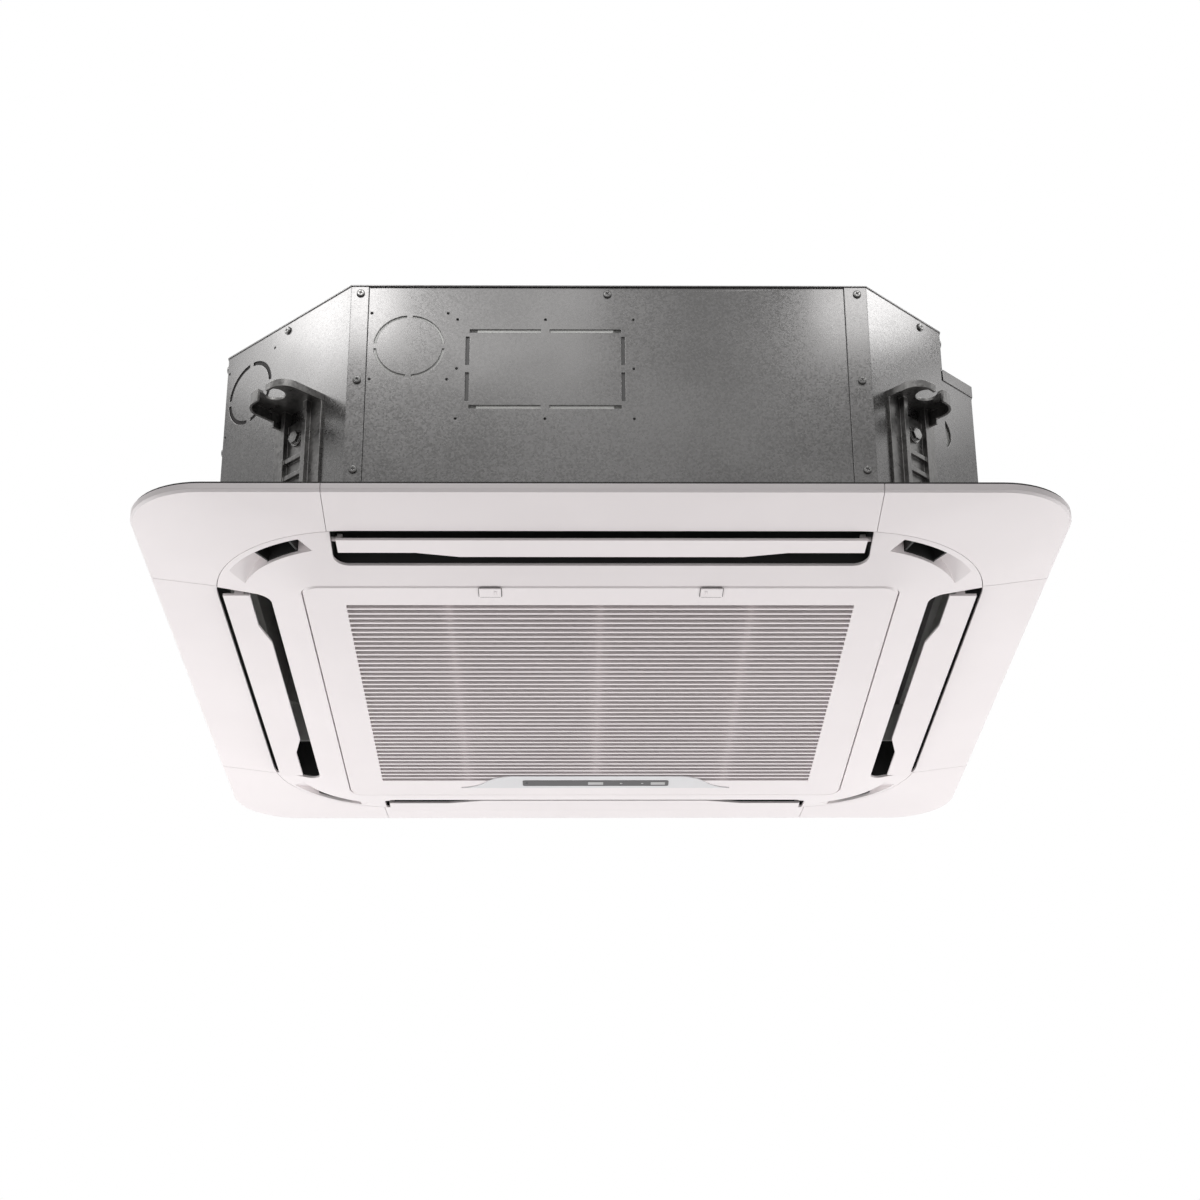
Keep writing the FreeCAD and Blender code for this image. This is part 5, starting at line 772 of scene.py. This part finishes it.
def line_seed(name, lines):
    """A mesh of separate lines, as pairs of end points."""
    seed = bpy.data.meshes.new(name)
    points = [point for line in lines for point in line]
    pairs = [(2 * i, 2 * i + 1) for i in range(len(lines))]
    seed.from_pydata(points, pairs, [])
    return seed


def fin_runs():
    """A line through the fins of each side of the coil."""
    sides = {}
    for solid in islands("evaporator_fins"):
        middle = middle_of(solid)
        along = 0 if abs(middle.y) > abs(middle.x) else 1
        sides.setdefault((along, middle[1 - along] > 0), []).append(middle)
    return [(min(row, key=lambda p: p[along]), max(row, key=lambda p: p[along]))
            for (along, _), row in sorted(sides.items())]


PLATES = plates_tree()
fin_low, fin_high = (Vector(corner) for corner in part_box("evaporator_fins"))
runs = fin_runs()
fin_width = 2 * (fin_high.x - max(abs(run[0].x) for run in runs))
coil_fins = grown("coil_fins", line_seed("fin_lines", runs), PLATES, {
    "Pitch": FIN_PITCH, "Thickness": FIN_THICKNESS, "Width": fin_width, "Height": fin_high.z - fin_low.z,
    "Finish": FINISHES["fin_aluminium"]})
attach(coil_fins, "casing")
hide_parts("evaporator_fins")
print("coil fins:", len(coil_fins.data.polygons) // BAR_FACES)


def filter_frame_mesh(low, high):
    """The filter's border and its crossing bars, with soft edges."""
    mesh = bmesh.new()
    inner = high.x - FILTER_BORDER
    half_high = (low.z + high.z) / 2
    for way in (-1, 1):
        near, far = sorted((way * inner, way * high.x))
        bar(mesh, (near, low.y, low.z), (far, high.y, high.z))
        bar(mesh, (-inner, near, low.z), (inner, far, high.z))
    for share in FILTER_BAR_SHARES:
        near, far = share * inner - FILTER_BAR_WIDTH / 2, share * inner + FILTER_BAR_WIDTH / 2
        bar(mesh, (near, -inner, low.z), (far, inner, half_high))
        bar(mesh, (-inner, near, low.z), (inner, far, half_high))
    bmesh.ops.bevel(mesh, geom=mesh.edges[:], offset=FILTER_EDGE, segments=FILTER_EDGE_STEPS,
                    profile=ROUND_PROFILE_SHARE, affect="EDGES")
    return closed_mesh("filter_frame", mesh)


filter_low, filter_high = (Vector(corner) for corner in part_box("air_filter"))
net_half = filter_high.x - FILTER_BORDER
net_level = filter_low.z + FILTER_EDGE
net_lines = [((-net_half, 0, net_level), (net_half, 0, net_level)),
             ((0, -net_half, net_level), (0, net_half, net_level))]
filter_net = grown("filter_net", line_seed("net_lines", net_lines), PLATES, {
    "Pitch": STRAND_PITCH, "Thickness": STRAND_WIDTH, "Width": 2 * net_half, "Height": STRAND_THICKNESS,
    "Finish": FINISHES["filter_mesh"]})
filter_frame = new_piece("filter_frame", filter_frame_mesh(filter_low, filter_high))
dress(filter_frame, FINISHES["filter_mesh"])
for piece in (filter_net, filter_frame):
    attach(piece, "filter")
    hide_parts("air_filter")
print("filter strands:", len(filter_net.data.polygons) // BAR_FACES)

# %% [markdown]
# The display on the grille is a dark strip with two pale touch pads, a receiver for the remote control and
# two small lights. They are thin rounded tiles on the strip, so that they catch the light on their edges. The
# two latches get a painted shadow: a dark ring round their thumb plates, for the shade in the gap of a real
# sliding piece.

# %% Display tiles and painted shadow round the latches
TILE_THICKNESS = 0.15 * MM
TILE_SIDES = 6
# Each row of tiles has its finish, each tile's place as a share of the strip's half width with the tile's
# half width, and for all of them the half depth and the corner radius.
TILES = {
    "touch_pads": ("pad_pale", ((0.0, 9.6 * MM), (0.855, 9.0 * MM)), 4.6 * MM, 1.0 * MM),
    "display_lights": ("pad_pale", ((0.35, 1.6 * MM), (0.64, 1.6 * MM)), 1.6 * MM, 1.5 * MM),
    "remote_receiver": ("receiver_black", ((-0.945, 2.0 * MM),), 2.6 * MM, 1.9 * MM),
}
GAP_SHADOW_WIDTH = 0.7 * MM
GAP_SHADOW_REAR = 3.2 * MM
GAP_SHADOW_CLEARANCE = 0.1 * MM
GAP_SHADOW_THICKNESS = 0.25 * MM
GAP_SHADOW_RADIUS = 2.5 * MM

PAD_FINISHES = {
    "pad_pale": grained("pad_pale", (0.42, 0.41, 0.41), (0.48, 0.47, 0.47), 0.3),
    "receiver_black": grained("receiver_black", (0.01, 0.01, 0.011), (0.02, 0.02, 0.021), 0.15),
    # A dark finish that paints the shadow in the gap round each latch.
    "painted_gap_shadow": grained("painted_gap_shadow", (0.10, 0.095, 0.095), (0.14, 0.133, 0.133), 0.7),
}


def rounded_outline(half_x, half_y, radius):
    """Corners of a rounded rectangle, anticlockwise from the right."""
    corners = []
    for quarter, (way_x, way_y) in enumerate(((1, 1), (-1, 1), (-1, -1), (1, -1))):
        for step in range(TILE_SIDES + 1):
            turn = (quarter + step / TILE_SIDES) * math.pi / 2
            corners.append((way_x * (half_x - radius) + radius * math.cos(turn),
                            way_y * (half_y - radius) + radius * math.sin(turn)))
    return corners


def tile(mesh, middle, half_x, half_y, radius, z_top, z_low):
    """A thin rounded tile whose lower edge is a little smaller than its upper one."""
    thin = z_top - z_low
    levels = ((0, z_top), (0, (z_top + z_low) / 2), (thin / 2, z_low))
    rings = []
    for inset, z in levels:
        outline = rounded_outline(half_x - inset, half_y - inset, radius - inset)
        rings.append([mesh.verts.new((middle.x + x, middle.y + y, z)) for x, y in outline])
    for upper, lower in zip(rings, rings[1:]):
        joined_rings(mesh, lower, upper)
    mesh.faces.new(rings[0])
    mesh.faces.new(rings[-1])


window_low, window_high = (Vector(corner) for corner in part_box("display_window"))
window_middle = (window_low + window_high) / 2
window_half = (window_high.x - window_low.x) / 2
for name, (finish, spots, half_deep, radius) in TILES.items():
    tiles = bmesh.new()
    for share, half_wide in spots:
        middle = window_middle + Vector((share * window_half, 0, 0))
        tile(tiles, middle, half_wide, half_deep, radius, window_low.z, window_low.z - TILE_THICKNESS)
    piece = new_piece(name, closed_mesh(name, tiles))
    dress(piece, PAD_FINISHES[finish])
    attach(piece, "grille")
    print(name, len(piece.data.polygons), "faces")


def latch_gap_shadow_mesh(name, low, high, face):
    """A dark ring of painted shadow round a latch's thumb plate, for the shade in its gap, on the grille's
    face, wider at the rear.
    """
    mesh = bmesh.new()
    middle = (low + high) / 2
    half_x, half_y = (high.x - low.x) / 2 + GAP_SHADOW_CLEARANCE, (high.y - low.y) / 2 + GAP_SHADOW_CLEARANCE
    inner = rounded_outline(half_x, half_y, GAP_SHADOW_RADIUS)
    rear = (GAP_SHADOW_REAR - GAP_SHADOW_WIDTH) / 2
    outer = [(x, y + rear) for x, y in
             rounded_outline(half_x + GAP_SHADOW_WIDTH, half_y + GAP_SHADOW_WIDTH + rear, GAP_SHADOW_RADIUS + GAP_SHADOW_WIDTH)]
    rings = [[mesh.verts.new((middle.x + x, middle.y + y, z)) for x, y in outline]
             for outline, z in ((inner, face), (inner, face - GAP_SHADOW_THICKNESS),
                                (outer, face - GAP_SHADOW_THICKNESS), (outer, face))]
    looped_rings(mesh, rings)
    return closed_mesh(name, mesh)


grille_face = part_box("intake_grille")[0][2]
# Each latch gets a dark ring of painted shadow round its thumb plate.
for side in ("left", "right"):
    plate = [vert.co for vert in nodes["grille_latch_" + side].data.vertices if vert.co.z < grille_face]
    low, high = box_of(plate)
    name = "latch_joint_" + side
    piece = new_piece(name, latch_gap_shadow_mesh(name, low, high, grille_face - GAP_SHADOW_CLEARANCE))
    dress(piece, PAD_FINISHES["painted_gap_shadow"])
    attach(piece, "latch_" + side)
    print(name, len(piece.data.polygons), "faces")

# %% [markdown]
# Moulded foam lies behind the front plate, and it shows pale through the slits of its two knock-outs. The
# machine's liner stands a little way back, so thin pads fill that gap where the slits are: a ring behind the
# round knock-out, and a strip behind each long slit of the other. Grey strips behind its short slits, and a
# dark ring behind the round knock-out of the corner plate, are painted shade for the shadow inside those
# slits.
# A hidden plane would look the same from the front, but a pad with a thickness still sits right when it is
# seen at a slant. The places on the front plate come from the screw patterns in the record, and the corner's
# ring has a place of its own.

# %% Foam pads and painted slit shade behind the knock-outs
PAD_CLEARANCE = 0.15 * MM
RING_PAD_OUTER = 40.0 * MM
RING_PAD_INNER = 31.0 * MM
RING_PAD_SIDES = 48
STRIP_HALF_LENGTH = 71.0 * MM
STRIP_HALF_HEIGHT = 5.0 * MM
STRIP_RISE = 45.5 * MM
SLIT_SHADE_HALF_LENGTH = 40.0 * MM
SLIT_SHADE_SHIFT = 81.0 * MM
CORNER_KNOCK_OUT = Vector((-379.8, -292.2, 205.0)) * MM
CORNER_TURN = math.radians(-45)
# This grey paints the shade that falls into the short slits.
SLIT_SHADE_GREY = grained("painted_slit_shade", (0.11, 0.107, 0.106), (0.14, 0.137, 0.136), 0.7)


def mount_place(name):
    """Where the record puts a mount."""
    return next(Vector(row["pos_m"]) for row in frame["record"]["mounts"] if row["name"] == name)


def pad_ring(mesh, middle, turn, depth):
    """A flat ring behind a round knock-out, from the plate's back inwards."""
    turns = [2 * math.pi * i / RING_PAD_SIDES for i in range(RING_PAD_SIDES)]
    edges = ((RING_PAD_INNER, depth), (RING_PAD_INNER, 0), (RING_PAD_OUTER, 0), (RING_PAD_OUTER, depth))
    place = Matrix.Translation(middle) @ Matrix.Rotation(turn, 4, "Z")
    rings = [[mesh.verts.new(place @ Vector((radius * math.cos(step), inwards, radius * math.sin(step))))
              for step in turns] for radius, inwards in edges]
    looped_rings(mesh, rings)


plate_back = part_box("front_side_plate")[1][1] + PAD_CLEARANCE
liner_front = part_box("foam_liner")[0][1]
pad_depth = liner_front - plate_back
pads, slit_shades, corner_shade_ring = bmesh.new(), bmesh.new(), bmesh.new()
round_place = mount_place("round_knock_out_screws")
pad_ring(pads, Vector((round_place.x, plate_back, round_place.z)), 0, pad_depth)
pad_ring(corner_shade_ring, CORNER_KNOCK_OUT, CORNER_TURN, pad_depth)
duct = mount_place("duct_knock_out_corner_screws")
for way in (-1, 1):
    level = duct.z + way * STRIP_RISE
    bar(pads, (duct.x - STRIP_HALF_LENGTH, plate_back, level - STRIP_HALF_HEIGHT),
        (duct.x + STRIP_HALF_LENGTH, liner_front, level + STRIP_HALF_HEIGHT))
    along = duct.x + way * SLIT_SHADE_SHIFT
    bar(slit_shades, (along - STRIP_HALF_HEIGHT, plate_back, duct.z - SLIT_SHADE_HALF_LENGTH),
        (along + STRIP_HALF_HEIGHT, liner_front, duct.z + SLIT_SHADE_HALF_LENGTH))
backing = (
    ("knock_out_pads", pads, FINISHES["white_foam"], "white_foam"),
    ("knock_out_tapes", slit_shades, SLIT_SHADE_GREY, "gasket_foam"),
    # The corner ring takes the dark gasket finish as painted shade in its slit.
    ("corner_knock_out_tape", corner_shade_ring, FINISHES["gasket_foam"], "gasket_foam"),
)
for name, mesh, finish, slot in backing:
    piece = new_piece(name, closed_mesh(name, mesh))
    dress(piece, finish)
    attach(piece, "casing")
    print(name, len(piece.data.polygons), "faces")

# %% [markdown]
# Each corner plate laps over its two neighbours, and a dark line shows where its edge ends. A step of one
# sheet's thickness is too small to hold a shadow here, so the shadow is painted: a thin dark bead along each
# edge, on the plate below it. The edges are read from the boxes of the plates.

# %% Painted shadow along the corner plates
PAINTED_SHADOW_WIDTH = 0.8 * MM
PAINTED_SHADOW_THICKNESS = 0.4 * MM
PAINTED_SHADOW_SIDES = {-1: "left", 1: "right"}
PAINTED_SHADOW_ENDS = {-1: "front", 1: "rear"}


def painted_shadow_bead(mesh, across, edge, face, inwards, outwards, corner, plate):
    """A bead of painted shadow along an upright edge, where both plates reach: across is the axis that it is
    wide along.
    """
    near = [0, 0, max(corner[0][2], plate[0][2])]
    far = [0, 0, min(corner[1][2], plate[1][2])]
    near[across], far[across] = sorted((edge, edge + inwards * PAINTED_SHADOW_WIDTH))
    near[1 - across], far[1 - across] = sorted((face, face + outwards * PAINTED_SHADOW_THICKNESS))
    bar(mesh, near, far)


beads = bmesh.new()
for side, side_name in PAINTED_SHADOW_SIDES.items():
    for end, end_name in PAINTED_SHADOW_ENDS.items():
        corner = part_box("corner_plate_" + end_name + "_" + side_name)
        end_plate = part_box(end_name + "_side_plate")
        side_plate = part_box(side_name + "_side_plate")
        inner = 1 if side < 0 else 0
        outer = 0 if end < 0 else 1
        painted_shadow_bead(beads, 0, corner[inner][0], end_plate[outer][1], -side, end, corner, end_plate)
        painted_shadow_bead(beads, 1, corner[1 - outer][1], side_plate[1 - inner][0], -end, side, corner, side_plate)
painted_shadow = new_piece("corner_plate_sealer", closed_mesh("corner_plate_sealer", beads))
# The dark gasket finish here paints the shadow at each lap.
dress(painted_shadow, FINISHES["gasket_foam"])
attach(painted_shadow, "casing")
print("sealer beads:", len(painted_shadow.data.polygons) // BAR_FACES)
